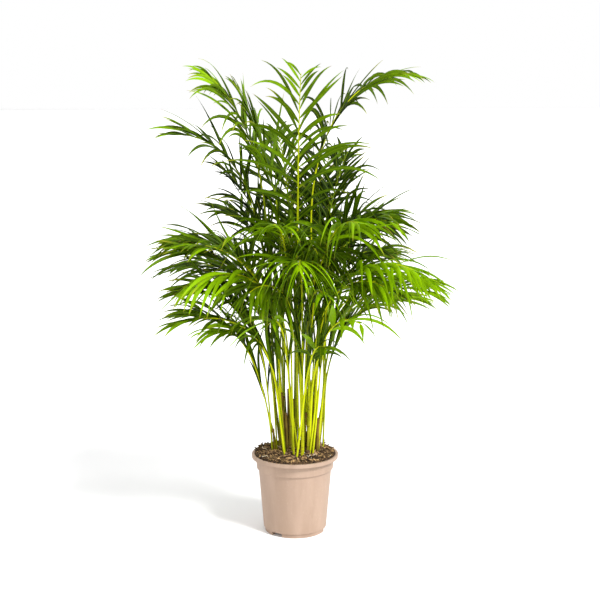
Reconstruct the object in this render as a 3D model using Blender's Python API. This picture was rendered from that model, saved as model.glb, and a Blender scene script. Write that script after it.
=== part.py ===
"""Areca palm in a nursery pot: pot, potting soil, canes and feather fronds.

Units are metres, +Z is up, and the origin is on the floor under the pot's axis.
Every cane and every frond (petiole, rachis and leaflets, which grow as one piece)
is a closed solid of its own.  Fronds are grown from a few values each: the cane they
spring from, where they head, how long they are and how far they lean and droop.
"""

import math
from dataclasses import dataclass, replace

import bmesh
import bpy
import numpy as np
from mathutils.bvhtree import BVHTree

GAP = 0.0003                    # clearance between pieces that touch in the real plant

# ---------------------------------------------------------------- pot
POT_HEIGHT = 0.192
RIM_RADIUS = 0.105              # outside of the rolled rim: a 21 cm pot
RIM_HEIGHT = 0.009
COLLAR_TOP_RADIUS = 0.0950
COLLAR_FOOT_RADIUS = 0.0915
COLLAR_FOOT = 0.156             # height of the step under the collar
BODY_TOP_RADIUS = 0.0890
BODY_FOOT_RADIUS = 0.0765
FOOT_HEIGHT = 0.011             # the inset ring that the pot stands on
FOOT_RADIUS = 0.0730
FOOT_INNER_RADIUS = 0.0640
WALL = 0.0018
POT_SIDES = 60
NOTCHES = 3                     # openings through the foot ring
NOTCH_WIDTH = 0.030
NOTCH_ANGLE = math.radians(233.0)
DRAINS = 6
DRAIN_RADIUS = 0.0055
DRAIN_RING = 0.046

# ---------------------------------------------------------------- soil
SOIL_EDGE = 0.184               # soil height at the pot's wall
SOIL_RISE = 0.010               # how far the middle stands above the edge
SOIL_RINGS = 5
SOIL_SIDES = 30
SOIL_LUMP = 0.0022
PLANT_DEPTH = 0.030             # how deep a cane is planted

# ---------------------------------------------------------------- canes and fronds
CANE_FOOT_RADIUS = 0.0048
CANE_TOP_RADIUS = 0.0040
CANE_SIDES = 6
PETIOLE_RADIUS = 0.0025
RACHIS_TIP_RADIUS = 0.0010
PETIOLE_RINGS = 6
LEAFLET_WIDTH = 0.0125
LEAFLET_THICKNESS = 0.0012
LEAFLET_MIDDLE = 0.50           # where a leaflet's widest section lies along it
STEM_GAP = 0.0010               # least free space between two stems
LEAF_GAP = 0.0007               # least free space round a leaflet
SOCKET_REACH = 0.0033           # from a cane's axis to each of two petioles on its top
STEM_SAMPLES = 160              # points along a stem for the clearance test
CURVE_POINTS = 81               # points along a stalk's curve
LEAFLET_STEPS = 8               # steps along a leaflet's middle line
LEAFLET_CLEAR_FOOT = 0.35       # share of a leaflet's lower half that may touch its own frond
LEAFLET_TURNS = [(0, 0), (5, 0), (-5, 0), (0, 8), (0, -8), (10, 0), (-10, 0), (6, 12), (-6, 12),
                 (6, -12), (-6, -12), (0, 20), (0, -20), (15, 0), (-15, 0)]
SWINGS = sorted(((swing, lean) for swing in range(-15, 16, 3) for lean in range(-4, 5, 2)),
                key=lambda way: (abs(way[0]) + 2 * abs(way[1]), way))


# ---------------------------------------------------------------- colours
POT_COLOUR = (0.66, 0.47, 0.36)
SOIL_COLOUR = (0.16, 0.10, 0.045)
CANE_COLOUR = (0.36, 0.44, 0.02)
DEEP_GREEN = (0.025, 0.085, 0.012)
FRESH_LIME = (0.24, 0.47, 0.03)


@dataclass(frozen=True)
class Cane:
    """One stem: foot position on the soil (mm), length above it (m) and its lean (degrees)."""

    x: float
    y: float
    length: float
    lean: float
    towards: float


@dataclass(frozen=True)
class Frond:
    """One feather leaf, from the top of its cane to the tip of its blade.

    The stalk's lean from vertical runs from ``foot`` to ``tip`` degrees; a larger
    ``bend`` keeps it straight for longer.  Leaflets leave the rachis at ``spread``
    degrees, raised out of its plane by ``vee`` degrees, and ``droop`` curves them down.
    ``wide`` widens them, and ``lime`` is the leaf's colour, from 0, deep green, to 1,
    fresh lime.
    """

    name: str
    cane: int
    heading: float
    petiole: float
    blade: float
    foot: float
    tip: float
    bend: float = 1.6
    pairs: int = 12
    leaflet: float = 0.19
    droop: float = 0.9
    spread: float = 56.0
    vee: float = 22.0
    wide: float = 1.0
    lime: float = 0.3


CANES = {
    1: Cane(-43, -7, 0.08, 11, 186),
    2: Cane(-35, 22, 0.21, 6, 165),
    3: Cane(-23, 2, 0.23, 4, 175),
    4: Cane(-17, 38, 0.19, 6, 125),
    5: Cane(-6, -34, 0.18, 5, 250),
    6: Cane(4, 22, 0.25, 3, 90),
    7: Cane(3, -10, 0.27, 1, 0),
    8: Cane(16, -54, 0.16, 5, 280),
    9: Cane(21, -4, 0.24, 2, 340),
    10: Cane(30, -36, 0.19, 5, 300),
    11: Cane(24, 42, 0.21, 5, 70),
    12: Cane(42, -24, 0.17, 6, 325),
    13: Cane(40, 16, 0.23, 4, 25),
    14: Cane(55, -6, 0.21, 5, 350),
    15: Cane(58, 22, 0.19, 6, 20),
    16: Cane(-27, -28, 0.17, 6, 225),
}

FRONDS = (
    Frond("crown_centre", 7, 272, 0.31, 0.41, 13, 64, 3.2, 16, 0.17, droop=1.3, spread=60, lime=0.7),
    Frond("crown_left", 2, 158, 0.46, 0.28, 1, 54, 3.2, 13, 0.18, droop=0.5, spread=30, lime=1.0),
    Frond("crown_right", 14, 18, 0.47, 0.36, -8, 96, 3.0, 15, 0.16, spread=36, lime=0.2),
    Frond("shoulder_left", 2, 172, 0.43, 0.23, 0, 94, 3.4, 11, 0.14, spread=46, lime=0.1),
    Frond("inner_left", 3, 165, 0.33, 0.31, -6, 28, 1.4, 11, 0.16, spread=38, lime=0.7),
    Frond("shoulder_right", 13, 66, 0.28, 0.26, 4, 50, 1.6, 9, 0.13, lime=0.0),
    Frond("middle_right", 15, 36, 0.31, 0.18, -3, 98, 2.2, 10, 0.12, spread=46, lime=0.1),
    Frond("fan_right", 9, 330, 0.26, 0.25, -6, 114, 1.8, 12, 0.15, spread=46, lime=0.4),
    Frond("bright_right", 12, 314, 0.30, 0.21, -8, 104, 1.2, 12, 0.17, droop=2.0, vee=4, lime=1.0),
    Frond("long_right", 14, 338, 0.13, 0.24, -2, 102, 1.0, 11, 0.16, spread=44, lime=0.3),
    Frond("low_right", 15, 22, 0.10, 0.24, -2, 104, 0.9, 11, 0.14, spread=42, lime=0.4),
    Frond("short_right", 10, 300, 0.15, 0.16, 18, 108, 1.6, 4, 0.12, droop=1.6, wide=1.5, lime=0.9),
    Frond("low_left", 16, 205, 0.12, 0.21, -4, 100, 0.9, 9, 0.15, spread=42, lime=0.3),
    Frond("lowest_left", 16, 200, 0.085, 0.17, -4, 100, 1.0, 8, 0.13, droop=1.6, spread=44, lime=0.5),
    Frond("thin_left", 1, 172, 0.18, 0.18, 12, 95, 2.2, 9, 0.15, spread=38, lime=0.4),
    Frond("dark_left", 3, 192, 0.07, 0.23, 8, 100, 1.3, 10, 0.15, spread=46, lime=0.1),
    Frond("bright_left", 5, 212, 0.25, 0.19, -4, 120, 1.6, 12, 0.17, droop=2.2, vee=4, lime=1.0),
    Frond("far_left", 2, 180, 0.235, 0.195, -4, 102, 1.3, 10, 0.14, spread=40, lime=0.3),
    Frond("back_left", 4, 150, 0.17, 0.28, -6, 108, 1.0, 12, 0.16, spread=48, lime=0.2),
    Frond("upper_left", 4, 150, 0.26, 0.26, -3, 46, 1.4, 11, 0.16, lime=0.2),
    Frond("front_left", 16, 220, 0.24, 0.24, -2, 86, 1.5, 11, 0.16, lime=0.4),
    Frond("rear_left", 4, 132, 0.26, 0.23, -2, 78, 1.5, 11, 0.14, lime=0.1),
    Frond("rear_high", 6, 100, 0.28, 0.32, 2, 62, 1.4, 13, 0.16, lime=0.1),
    Frond("rear_right", 11, 76, 0.30, 0.30, 4, 66, 1.5, 12, 0.15, lime=0.1),
    Frond("front_high", 5, 262, 0.30, 0.24, 4, 92, 2.0, 12, 0.16, droop=1.6, vee=8, lime=0.5),
    Frond("front_right", 10, 292, 0.30, 0.24, 4, 94, 2.0, 12, 0.16, droop=1.6, vee=8, lime=0.6),
    Frond("droop_right", 12, 332, 0.24, 0.20, -2, 102, 1.3, 11, 0.16, droop=1.4, lime=0.7),
    Frond("side_right", 13, 44, 0.15, 0.29, -2, 108, 0.9, 12, 0.16, lime=0.2),
    Frond("back_middle", 6, 80, 0.22, 0.28, 2, 88, 1.6, 12, 0.16, lime=0.1),
    Frond("back_right", 11, 56, 0.22, 0.28, 0, 94, 1.3, 12, 0.16, lime=0.1),
    Frond("front_hang", 8, 268, 0.30, 0.20, -2, 116, 2.0, 11, 0.17, droop=2.2, vee=0, lime=0.7),
    Frond("broad_front", 5, 256, 0.16, 0.13, 10, 104, 1.6, 4, 0.14, droop=1.6, wide=1.5, lime=0.7),
    Frond("broad_middle", 9, 296, 0.16, 0.14, 14, 104, 1.6, 4, 0.15, droop=1.6, wide=1.6, lime=0.8),
    Frond("broad_low", 8, 290, 0.10, 0.12, 8, 96, 1.4, 4, 0.11, droop=1.4, wide=1.5, lime=0.5),
    Frond("fan_left", 3, 178, 0.23, 0.18, -2, 98, 1.6, 11, 0.15, spread=48, lime=0.15),
    Frond("side_left", 1, 186, 0.24, 0.18, 4, 98, 2.4, 10, 0.15, spread=40, lime=0.3),
    Frond("hang_left", 8, 236, 0.24, 0.17, 0, 112, 1.8, 10, 0.16, droop=2.2, vee=0, lime=0.4),
    Frond("hang_middle", 7, 282, 0.20, 0.17, 0, 112, 1.8, 10, 0.16, droop=2.2, vee=0, lime=0.3),
    Frond("hang_right", 10, 316, 0.21, 0.18, 0, 108, 1.6, 10, 0.16, droop=2.2, vee=0, lime=0.5),
    Frond("inner_right", 9, 24, 0.20, 0.20, 2, 88, 1.6, 11, 0.16, droop=1.4, lime=0.1),
    Frond("inner_back", 7, 104, 0.17, 0.20, 2, 92, 1.6, 11, 0.16, droop=1.6, lime=0.0),
    Frond("rear_side", 11, 44, 0.17, 0.24, 0, 98, 1.2, 11, 0.15, droop=1.2, lime=0.15),
)


# ---------------------------------------------------------------- growth
def unit(vectors):
    """Scale each row to length one."""
    return vectors / np.linalg.norm(vectors, axis=-1, keepdims=True)


def direction(lean, heading):
    """Unit vectors that lean from vertical towards a heading (degrees)."""
    lean, heading = np.radians(lean), np.radians(heading)
    flat = np.sin(lean)
    return np.stack([flat * np.cos(heading), flat * np.sin(heading), np.cos(lean) + 0 * flat], -1)


def soil_height(x, y):
    """Height of the smooth soil surface: a low dome that meets the wall at SOIL_EDGE."""
    reach = np.hypot(x, y) / (RIM_RADIUS - 0.01)
    return SOIL_EDGE + SOIL_RISE * (1.0 - np.minimum(reach, 1.0) ** 2)


def cane_line(cane):
    """Foot on the soil, top and axis direction of a cane."""
    foot = np.array([cane.x / 1000, cane.y / 1000, 0.0])
    foot[2] = soil_height(foot[0], foot[1])
    axis = direction(cane.lean, cane.towards)
    return foot, foot + axis * cane.length, axis


def stalk_curve(frond, start, count):
    """Points, tangents, side and face directions from the petiole's foot to the blade's tip.

    The lean grows as (way along) ** bend; the points are the running sum of the steps.
    """
    way = np.linspace(0.0, 1.0, count)
    middle = (way[1:] + way[:-1]) / 2
    step = (frond.petiole + frond.blade) / (count - 1)

    def lean(at):
        return frond.foot + (frond.tip - frond.foot) * at ** frond.bend

    steps = direction(lean(middle), frond.heading) * step
    points = np.concatenate([start[None], start + np.cumsum(steps, 0)])
    tangents = direction(lean(way), frond.heading)
    bearing = math.radians(frond.heading)
    sides = np.tile([-math.sin(bearing), math.cos(bearing), 0.0], (count, 1))
    return points, tangents, sides, np.cross(tangents, sides)


def at_way(rows, way):
    """Rows of a curve read at fractions of its length, between its points."""
    place = np.asarray(way) * (len(rows) - 1)
    low = np.minimum(place.astype(int), len(rows) - 2)
    part = (place - low)[..., None]
    return rows[low] * (1 - part) + rows[low + 1] * part


def stem_samples(frond, start):
    """Points along a stalk and its radius at each, for the clearance test."""
    points = stalk_curve(frond, start, STEM_SAMPLES)[0]
    return points, stalk_radius(np.linspace(0, 1, STEM_SAMPLES), frond)


def stalk_radius(way, frond):
    """Petiole radius to where the blade starts, then an even taper to the rachis tip."""
    neck = frond.petiole / (frond.petiole + frond.blade)
    taper = np.clip((way - neck) / (1 - neck), 0, 1)
    return PETIOLE_RADIUS + (RACHIS_TIP_RADIUS - PETIOLE_RADIUS) * taper


def free_space(points, radii, others):
    """Smallest distance between the skins of one stem and all the stems before it."""
    least = 1.0
    for other_points, other_radii in others:
        apart = np.linalg.norm(points[:, None] - other_points[None], axis=-1)
        least = min(least, float((apart - radii[:, None] - other_radii[None]).min()))
    return least


def socket_offset(frond, siblings):
    """Where a petiole stands on its cane's top: side by side, in order of heading."""
    if len(siblings) == 1:
        return np.zeros(3)
    ordered = sorted(siblings, key=lambda one: one.heading)
    middle = sum(one.heading for one in siblings) / len(siblings)
    rank = 2.0 * ordered.index(frond) / (len(siblings) - 1) - 1.0
    angle = math.radians(middle + 90 * rank)
    reach = SOCKET_REACH if len(siblings) == 2 else SOCKET_REACH * 1.42
    return np.array([math.cos(angle), math.sin(angle), 0.0]) * reach


def grow_plant():
    """Set every frond on its cane, and swing a stalk aside where it would meet another.

    Returns (frond, stalk curve) pairs, in the order of FRONDS.
    """
    stems = []
    for cane in CANES.values():
        foot, top, _ = cane_line(cane)
        way = np.linspace(0, 1, STEM_SAMPLES)[:, None]
        radii = CANE_FOOT_RADIUS + (CANE_TOP_RADIUS - CANE_FOOT_RADIUS) * way[:, 0]
        stems.append((foot + (top - foot) * way, radii))
    plant = []
    for frond in FRONDS:
        siblings = [one for one in FRONDS if one.cane == frond.cane]
        start = cane_line(CANES[frond.cane])[1] + socket_offset(frond, siblings)
        start[2] += GAP
        others = [stem for index, stem in enumerate(stems) if index + 1 != frond.cane]
        choices = []
        for swing, lean in SWINGS:
            moved = replace(frond, heading=frond.heading + swing, foot=frond.foot + lean)
            space = free_space(*stem_samples(moved, start), others)
            choices.append((space, moved))
            if space > STEM_GAP:
                break
        moved = max(choices, key=lambda choice: min(choice[0], STEM_GAP))[1]
        stems.append(stem_samples(moved, start))
        plant.append((moved, stalk_curve(moved, start, CURVE_POINTS)))
    return plant


def leaflet_plan(frond, seed):
    """Place on the blade, side, length, spread, droop and lift of each leaflet, neck to tip.

    Leaflets alternate left and right.  They are longest at a third of the blade, and
    they stand ever closer to the rachis towards its tip.
    """
    count = 2 * frond.pairs
    place = (np.arange(count) + 0.5) / count
    side = np.where(np.arange(count) % 2, -1.0, 1.0)
    jitter = np.clip(np.random.default_rng(seed).normal(0, 1, (3, count)), -2, 2)
    rise = 0.62 + 0.38 * np.sin(np.minimum(place / 0.35, 1) * math.pi / 2)
    fall = 1 - 0.55 * np.clip((place - 0.35) / 0.65, 0, 1) ** 1.5
    length = frond.leaflet * np.minimum(rise, fall) * (1 + 0.06 * jitter[0])
    spread = np.radians(frond.spread * (1 - 0.5 * place) + 3.0 * jitter[1])
    droop = frond.droop * (1 + 0.15 * jitter[2]) * (1 - 0.3 * place)
    vee = np.full(count, math.radians(frond.vee))
    return place, side, length, spread, droop, vee


def leaflet_lines(frond, stalk, plan, steps=LEAFLET_STEPS):
    """Middle lines of the planned leaflets, one row of points each.

    A leaflet leaves the rachis sideways and upwards in a V, and its direction then
    turns down by droop times (way along) ** 1.3 at each of its steps.
    """
    place, side, length, spread, droop, vee = plan
    neck = frond.petiole / (frond.petiole + frond.blade)
    base, ahead, across, up = (at_way(rows, neck + (1 - neck) * place) for rows in stalk)
    out = across * (side * np.cos(vee))[:, None] + up * np.sin(vee)[:, None]
    first = ahead * np.cos(spread)[:, None] + out * np.sin(spread)[:, None]
    way = (np.arange(steps) + 0.5) / steps
    fall = droop[:, None] * way[None] ** 1.3
    course = first[:, None] - fall[..., None] * np.array([0.0, 0.0, 1.0])
    course = unit(course) * (length / steps)[:, None, None]
    return np.concatenate([base[:, None], base[:, None] + np.cumsum(course, 1)], 1)


# ---------------------------------------------------------------- meshes
def add_object(name, vertices, faces, colour, roughness):
    """Make a closed mesh object with its faces outwards and a material of its own."""
    shape = bmesh.new()
    corners = [shape.verts.new(vertex) for vertex in vertices]
    for face in faces:
        shape.faces.new([corners[index] for index in face])
    bmesh.ops.triangulate(shape, faces=shape.faces)
    bmesh.ops.recalc_face_normals(shape, faces=shape.faces)
    mesh = bpy.data.meshes.new(name)
    shape.to_mesh(mesh)
    shape.free()
    thing = bpy.data.objects.new(name, mesh)
    bpy.context.scene.collection.objects.link(thing)
    material = bpy.data.materials.new(name)
    material.use_nodes = True
    surface = material.node_tree.nodes["Principled BSDF"]
    surface.inputs["Base Color"].default_value = (*colour, 1.0)
    surface.inputs["Roughness"].default_value = roughness
    surface.inputs["Metallic"].default_value = 0.0
    mesh.materials.append(material)
    return thing


def turned(profile, sides):
    """Vertices and faces of an outline turned about the Z axis; points at radius 0 are poles."""
    vertices, faces, rings = [], [], []
    for radius, height in profile:
        if radius == 0.0:
            rings.append([len(vertices)] * sides)
            vertices.append((0.0, 0.0, height))
            continue
        rings.append(list(range(len(vertices), len(vertices) + sides)))
        for index in range(sides):
            angle = 2 * math.pi * index / sides
            vertices.append((radius * math.cos(angle), radius * math.sin(angle), height))
    closed = profile[0][0] != 0.0
    pairs = list(zip(rings, rings[1:] + rings[:1])) if closed else list(zip(rings, rings[1:]))
    for low, high in pairs:
        for index in range(sides):
            following = (index + 1) % sides
            corners = [low[index], low[following], high[following], high[index]]
            face = list(dict.fromkeys(corners))
            if len(face) > 2:
                faces.append(face)
    return vertices, faces


def cut(thing, name, vertices, faces):
    """Subtract a closed shape from an object with an exact Boolean, and hide the cutter."""
    cutter = add_object(name, vertices, faces, (0.5, 0.5, 0.5), 0.5)
    cutter.hide_render = True
    cutter.display_type = "WIRE"
    modifier = thing.modifiers.new(name, "BOOLEAN")
    modifier.operation = "DIFFERENCE"
    modifier.solver = "EXACT"
    modifier.object = cutter


def smooth(thing, angle):
    """Shade round faces smooth, and keep edges sharper than the angle (degrees)."""
    thing.data.shade_smooth()
    thing.data.set_sharp_from_angle(angle=math.radians(angle))


# ---------------------------------------------------------------- pot
def pot_inside():
    """Radius and height of the pot's inner wall, from the floor to the top of the rim."""
    return [(BODY_FOOT_RADIUS - WALL, FOOT_HEIGHT + WALL),
            (BODY_TOP_RADIUS - WALL, COLLAR_FOOT - WALL),
            (COLLAR_FOOT_RADIUS - WALL, COLLAR_FOOT + WALL),
            (COLLAR_TOP_RADIUS - WALL, POT_HEIGHT - WALL)]


def make_pot():
    """The moulded shell: foot ring, tapered body, collar and a rim turned outwards and down."""
    rim_foot = POT_HEIGHT - RIM_HEIGHT
    round_off = 0.8 * WALL
    profile = [(0.0, FOOT_HEIGHT - 0.5 * WALL),
               (FOOT_INNER_RADIUS, FOOT_HEIGHT - 0.5 * WALL),
               (FOOT_INNER_RADIUS, 0.0),
               (FOOT_RADIUS, 0.0),
               (FOOT_RADIUS, FOOT_HEIGHT - 0.5 * WALL),
               (BODY_FOOT_RADIUS, FOOT_HEIGHT),
               (BODY_TOP_RADIUS, COLLAR_FOOT - 0.5 * WALL),
               (COLLAR_FOOT_RADIUS, COLLAR_FOOT + 0.5 * WALL),
               (COLLAR_TOP_RADIUS, POT_HEIGHT - 2 * WALL),
               (RIM_RADIUS - WALL, POT_HEIGHT - 2 * WALL),
               (RIM_RADIUS - WALL, rim_foot),
               (RIM_RADIUS - 0.3 * WALL, rim_foot),
               (RIM_RADIUS, rim_foot + round_off),
               (RIM_RADIUS, POT_HEIGHT - 1.5 * round_off),
               (RIM_RADIUS - 1.5 * round_off, POT_HEIGHT),
               (COLLAR_TOP_RADIUS - 0.4 * WALL, POT_HEIGHT)]
    profile += list(reversed(pot_inside())) + [(0.0, FOOT_HEIGHT + WALL)]
    pot = add_object("pot", *turned(profile, POT_SIDES), POT_COLOUR, 0.62)
    cut(pot, "foot_notches", *notch_blocks())
    cut(pot, "drain_holes", *drain_pins())
    smooth(pot, 35)


def notch_blocks():
    """Blocks through the foot ring, evenly round it, a little lower than the floor."""
    vertices, faces = [], []
    top = FOOT_HEIGHT - WALL
    for index in range(NOTCHES):
        angle = NOTCH_ANGLE + 2 * math.pi * index / NOTCHES
        out = np.array([math.cos(angle), math.sin(angle), 0.0])
        along = np.array([-math.sin(angle), math.cos(angle), 0.0])
        first = len(vertices)
        for radius in (0.8 * FOOT_INNER_RADIUS, 1.2 * FOOT_RADIUS):
            for across in (-0.5, 0.5):
                for height in (-top, top):
                    corner = out * radius + along * across * NOTCH_WIDTH
                    vertices.append((corner[0], corner[1], height))
        for face in ((0, 1, 3, 2), (4, 6, 7, 5), (0, 4, 5, 1), (2, 3, 7, 6), (0, 2, 6, 4), (1, 5, 7, 3)):
            faces.append([first + corner for corner in face])
    return vertices, faces


def drain_pins():
    """Short round pins through the floor on a ring about the axis."""
    vertices, faces = [], []
    sides = 10
    for index in range(DRAINS):
        angle = 2 * math.pi * index / DRAINS
        first = len(vertices)
        for height in (0.5 * FOOT_HEIGHT, FOOT_HEIGHT + 2 * WALL):
            for corner in range(sides):
                turn = 2 * math.pi * corner / sides
                vertices.append((DRAIN_RING * math.cos(angle) + DRAIN_RADIUS * math.cos(turn),
                                 DRAIN_RING * math.sin(angle) + DRAIN_RADIUS * math.sin(turn), height))
        faces.append([first + corner for corner in reversed(range(sides))])
        faces.append([first + sides + corner for corner in range(sides)])
        for corner in range(sides):
            following = (corner + 1) % sides
            faces.append([first + corner, first + following,
                          first + sides + following, first + sides + corner])
    return vertices, faces


# ---------------------------------------------------------------- soil
def make_soil():
    """The root ball: it fills the pot to a lumpy dome, with a socket for each cane."""
    slim = math.cos(math.pi / POT_SIDES)
    wall = [(radius * slim - GAP, height) for radius, height in pot_inside()]
    wall[0] = (wall[0][0], wall[0][1] + GAP)
    wall[2] = (wall[2][0], wall[2][1] + GAP)
    share = (SOIL_EDGE - wall[2][1]) / (wall[3][1] - wall[2][1])
    edge = wall[2][0] + (wall[3][0] - wall[2][0]) * share
    wall[3] = (edge, SOIL_EDGE)
    dome = [(edge * (1 - ring / SOIL_RINGS), 0.0) for ring in range(1, SOIL_RINGS + 1)]
    vertices, faces = turned([(0.0, wall[0][1])] + wall + dome, SOIL_SIDES)
    first_on_top = 1 + len(wall) * SOIL_SIDES
    lumps = np.random.default_rng(5).normal(0, SOIL_LUMP, len(vertices))
    for index in range(first_on_top, len(vertices)):
        x, y, _ = vertices[index]
        vertices[index] = (x, y, soil_height(x, y) + lumps[index])
    soil = add_object("potting_soil", vertices, faces, SOIL_COLOUR, 0.95)
    socket_vertices, socket_faces = [], []
    for cane in CANES.values():
        vertices, faces = cane_shape(cane, GAP)
        first = len(socket_vertices)
        socket_vertices += vertices
        socket_faces += [[first + corner for corner in face] for face in faces]
    cut(soil, "cane_sockets", socket_vertices, socket_faces)


# ---------------------------------------------------------------- canes
def cane_shape(cane, swell=0.0):
    """A tapered prism along the cane, planted in the soil, with level ends; swell fattens it."""
    foot, top, axis = cane_line(cane)
    start = foot - axis * PLANT_DEPTH
    vertices, faces = [], []
    for index, (centre, radius) in enumerate(((start, CANE_FOOT_RADIUS), (foot, CANE_FOOT_RADIUS),
                                              (top, CANE_TOP_RADIUS))):
        level = centre[2] + (-swell if index == 0 else 0.0)
        for side in range(CANE_SIDES):
            angle = 2 * math.pi * (side + 0.5) / CANE_SIDES
            reach = radius + swell / math.cos(math.pi / CANE_SIDES)
            vertices.append((centre[0] + reach * math.cos(angle),
                             centre[1] + reach * math.sin(angle), level))
    faces.append(list(reversed(range(CANE_SIDES))))
    faces.append([2 * CANE_SIDES + side for side in range(CANE_SIDES)])
    for ring in (0, CANE_SIDES):
        for side in range(CANE_SIDES):
            following = (side + 1) % CANE_SIDES
            faces.append([ring + side, ring + following,
                          ring + CANE_SIDES + following, ring + CANE_SIDES + side])
    return vertices, faces


def make_canes():
    """One prism for each cane."""
    for number, cane in CANES.items():
        thing = add_object(f"cane_{number:02d}", *cane_shape(cane), CANE_COLOUR, 0.45)
        smooth(thing, 70)


# ---------------------------------------------------------------- fronds
def skin(corners, faces):
    """Search tree over a shape's faces."""
    return BVHTree.FromPolygons([tuple(corner) for corner in corners], faces)


def evaluated(thing):
    """Corner points and triangles of an object with its modifiers applied."""
    ready = thing.evaluated_get(bpy.context.evaluated_depsgraph_get())
    mesh = ready.to_mesh()
    mesh.calc_loop_triangles()
    corners = [vertex.co[:] for vertex in mesh.vertices]
    faces = [list(face.vertices) for face in mesh.loop_triangles]
    ready.to_mesh_clear()
    return corners, faces


def stalk_rings(frond, stalk):
    """Three corners round the stalk at each ring: left, right and ridge, and the rings' places.

    The petiole has a few rings and the blade one at each side of every leaflet.
    """
    neck = frond.petiole / (frond.petiole + frond.blade)
    petiole = neck * np.arange(PETIOLE_RINGS) / PETIOLE_RINGS
    blade = neck + (1 - neck) * np.arange(2 * frond.pairs + 1) / (2 * frond.pairs)
    way = np.concatenate([petiole, blade])
    point, _, across, up = (at_way(rows, way) for rows in stalk)
    radius = stalk_radius(way, frond)[:, None]
    left = point + radius * (0.87 * across - 0.5 * up)
    right = point - radius * (0.87 * across + 0.5 * up)
    ridge = point + radius * up
    rings = np.stack([left, right, ridge], 1)
    rings[0, :, 2] = point[0, 2]
    return rings


def leaflet_sections(frond, stalk, plan, base, swell=0.0):
    """Corner points of one leaflet: its foot on the rachis, its widest section and its tip."""
    line = leaflet_lines(frond, stalk, [values[None] for values in plan])[0]
    place, side, length = plan[:3]
    neck = frond.petiole / (frond.petiole + frond.blade)
    ahead = at_way(stalk[1], neck + (1 - neck) * place)
    middle = int(LEAFLET_MIDDLE * LEAFLET_STEPS)
    along = unit(line[middle + 1] - line[middle - 1])
    width = unit(ahead - along * (ahead @ along))
    depth = side * np.cross(width, along)
    half = 0.5 * LEAFLET_WIDTH * frond.wide * min(1.0, length / 0.11) + swell
    thick = 0.5 * LEAFLET_THICKNESS + swell
    centre = line[middle]
    section = [centre - width * half - depth * thick, centre - width * half + depth * thick,
               centre + width * half + depth * thick, centre + width * half - depth * thick]
    return np.array(list(base) + section + [line[-1] + along * swell])


LEAFLET_FACES = [[0, 1, 5, 4], [1, 2, 6, 5], [2, 3, 7, 6], [3, 0, 4, 7],
                 [4, 5, 8], [5, 6, 8], [6, 7, 8], [7, 4, 8]]
LEAFLET_TRIANGLES = [[face[0], face[low], face[low + 1]]
                     for face in LEAFLET_FACES for low in range(1, len(face) - 1)]


def leaflet_skin(corners, start=0.0):
    """Search tree over a leaflet from a share of the way between its foot and its middle."""
    clipped = corners.copy()
    clipped[:4] += start * (corners[4:8] - corners[:4])
    return skin(clipped, LEAFLET_TRIANGLES)


def leaflet_is_free(corners, earlier, own):
    """Whether a leaflet misses every earlier piece and, away from its foot, its own frond."""
    whole = leaflet_skin(corners)
    if any(whole.overlap(tree) for tree in earlier):
        return False
    outer = leaflet_skin(corners, LEAFLET_CLEAR_FOOT)
    return not any(outer.overlap(tree) for tree in own)


def fit_leaflet(frond, stalk, plan, base, earlier, own):
    """The leaflet's corners, turned, lifted or shortened until it is free; None if it can't be."""
    place, side, length, spread, droop, vee = plan
    for share in (1.0, 0.8, 0.6, 0.4):
        for turn, lift in LEAFLET_TURNS:
            moved = [place, side, length * share, spread + math.radians(turn), droop,
                     vee + math.radians(lift)]
            if leaflet_is_free(leaflet_sections(frond, stalk, moved, base, LEAF_GAP), earlier, own):
                return leaflet_sections(frond, stalk, moved, base)
    return None


def stalk_shape(frond, stalk):
    """Vertices of a stalk, its two ends, its underside and its upper faces by side."""
    rings = stalk_rings(frond, stalk)
    last = 3 * (len(rings) - 1)
    vertices = [tuple(corner) for ring in rings for corner in ring]
    under, upper = [[0, 1, 2], [last + 2, last + 1, last]], []
    for left in range(0, last, 3):
        right, ridge = left + 1, left + 2
        under.append([left, left + 3, right + 3, right])
        upper.append({1.0: [left, ridge, ridge + 3, left + 3],
                      -1.0: [right, ridge, ridge + 3, right + 3]})
    return vertices, under, upper


def stalk_skin(frond, stalk):
    """Search tree over a bare stalk."""
    vertices, under, upper = stalk_shape(frond, stalk)
    return skin(vertices, under + [quad for pair in upper for quad in pair.values()])


def make_frond(number, frond, stalk, earlier, own):
    """One feather leaf: a three-sided stalk with leaflets grown out of its two upper faces.

    Returns a search tree over the finished frond, for those that come after it.
    """
    vertices, under, upper = stalk_shape(frond, stalk)
    leaflets, trees = [], []
    for row, pair in zip(zip(*leaflet_plan(frond, number)), upper[PETIOLE_RINGS:]):
        foot = pair[row[1]]
        base = [np.array(vertices[corner]) for corner in foot]
        corners = fit_leaflet(frond, stalk, row, base, earlier, [own] + trees)
        if corners is None:
            continue
        index = foot + list(range(len(vertices), len(vertices) + 5))
        vertices += [tuple(corner) for corner in corners[4:]]
        leaflets += [[index[corner] for corner in face] for face in LEAFLET_FACES]
        trees.append(leaflet_skin(corners, LEAFLET_CLEAR_FOOT))
        del pair[row[1]]
    faces = under + [quad for pair in upper for quad in pair.values()] + leaflets
    frond_object = add_object(f"frond_{frond.name}", vertices, faces, leaf_colour(frond.lime), 0.4)
    return skin(*evaluated(frond_object))


def leaf_colour(lime):
    """Blend from deep green to fresh lime."""
    return tuple(deep + (fresh - deep) * lime for deep, fresh in zip(DEEP_GREEN, FRESH_LIME))


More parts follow.
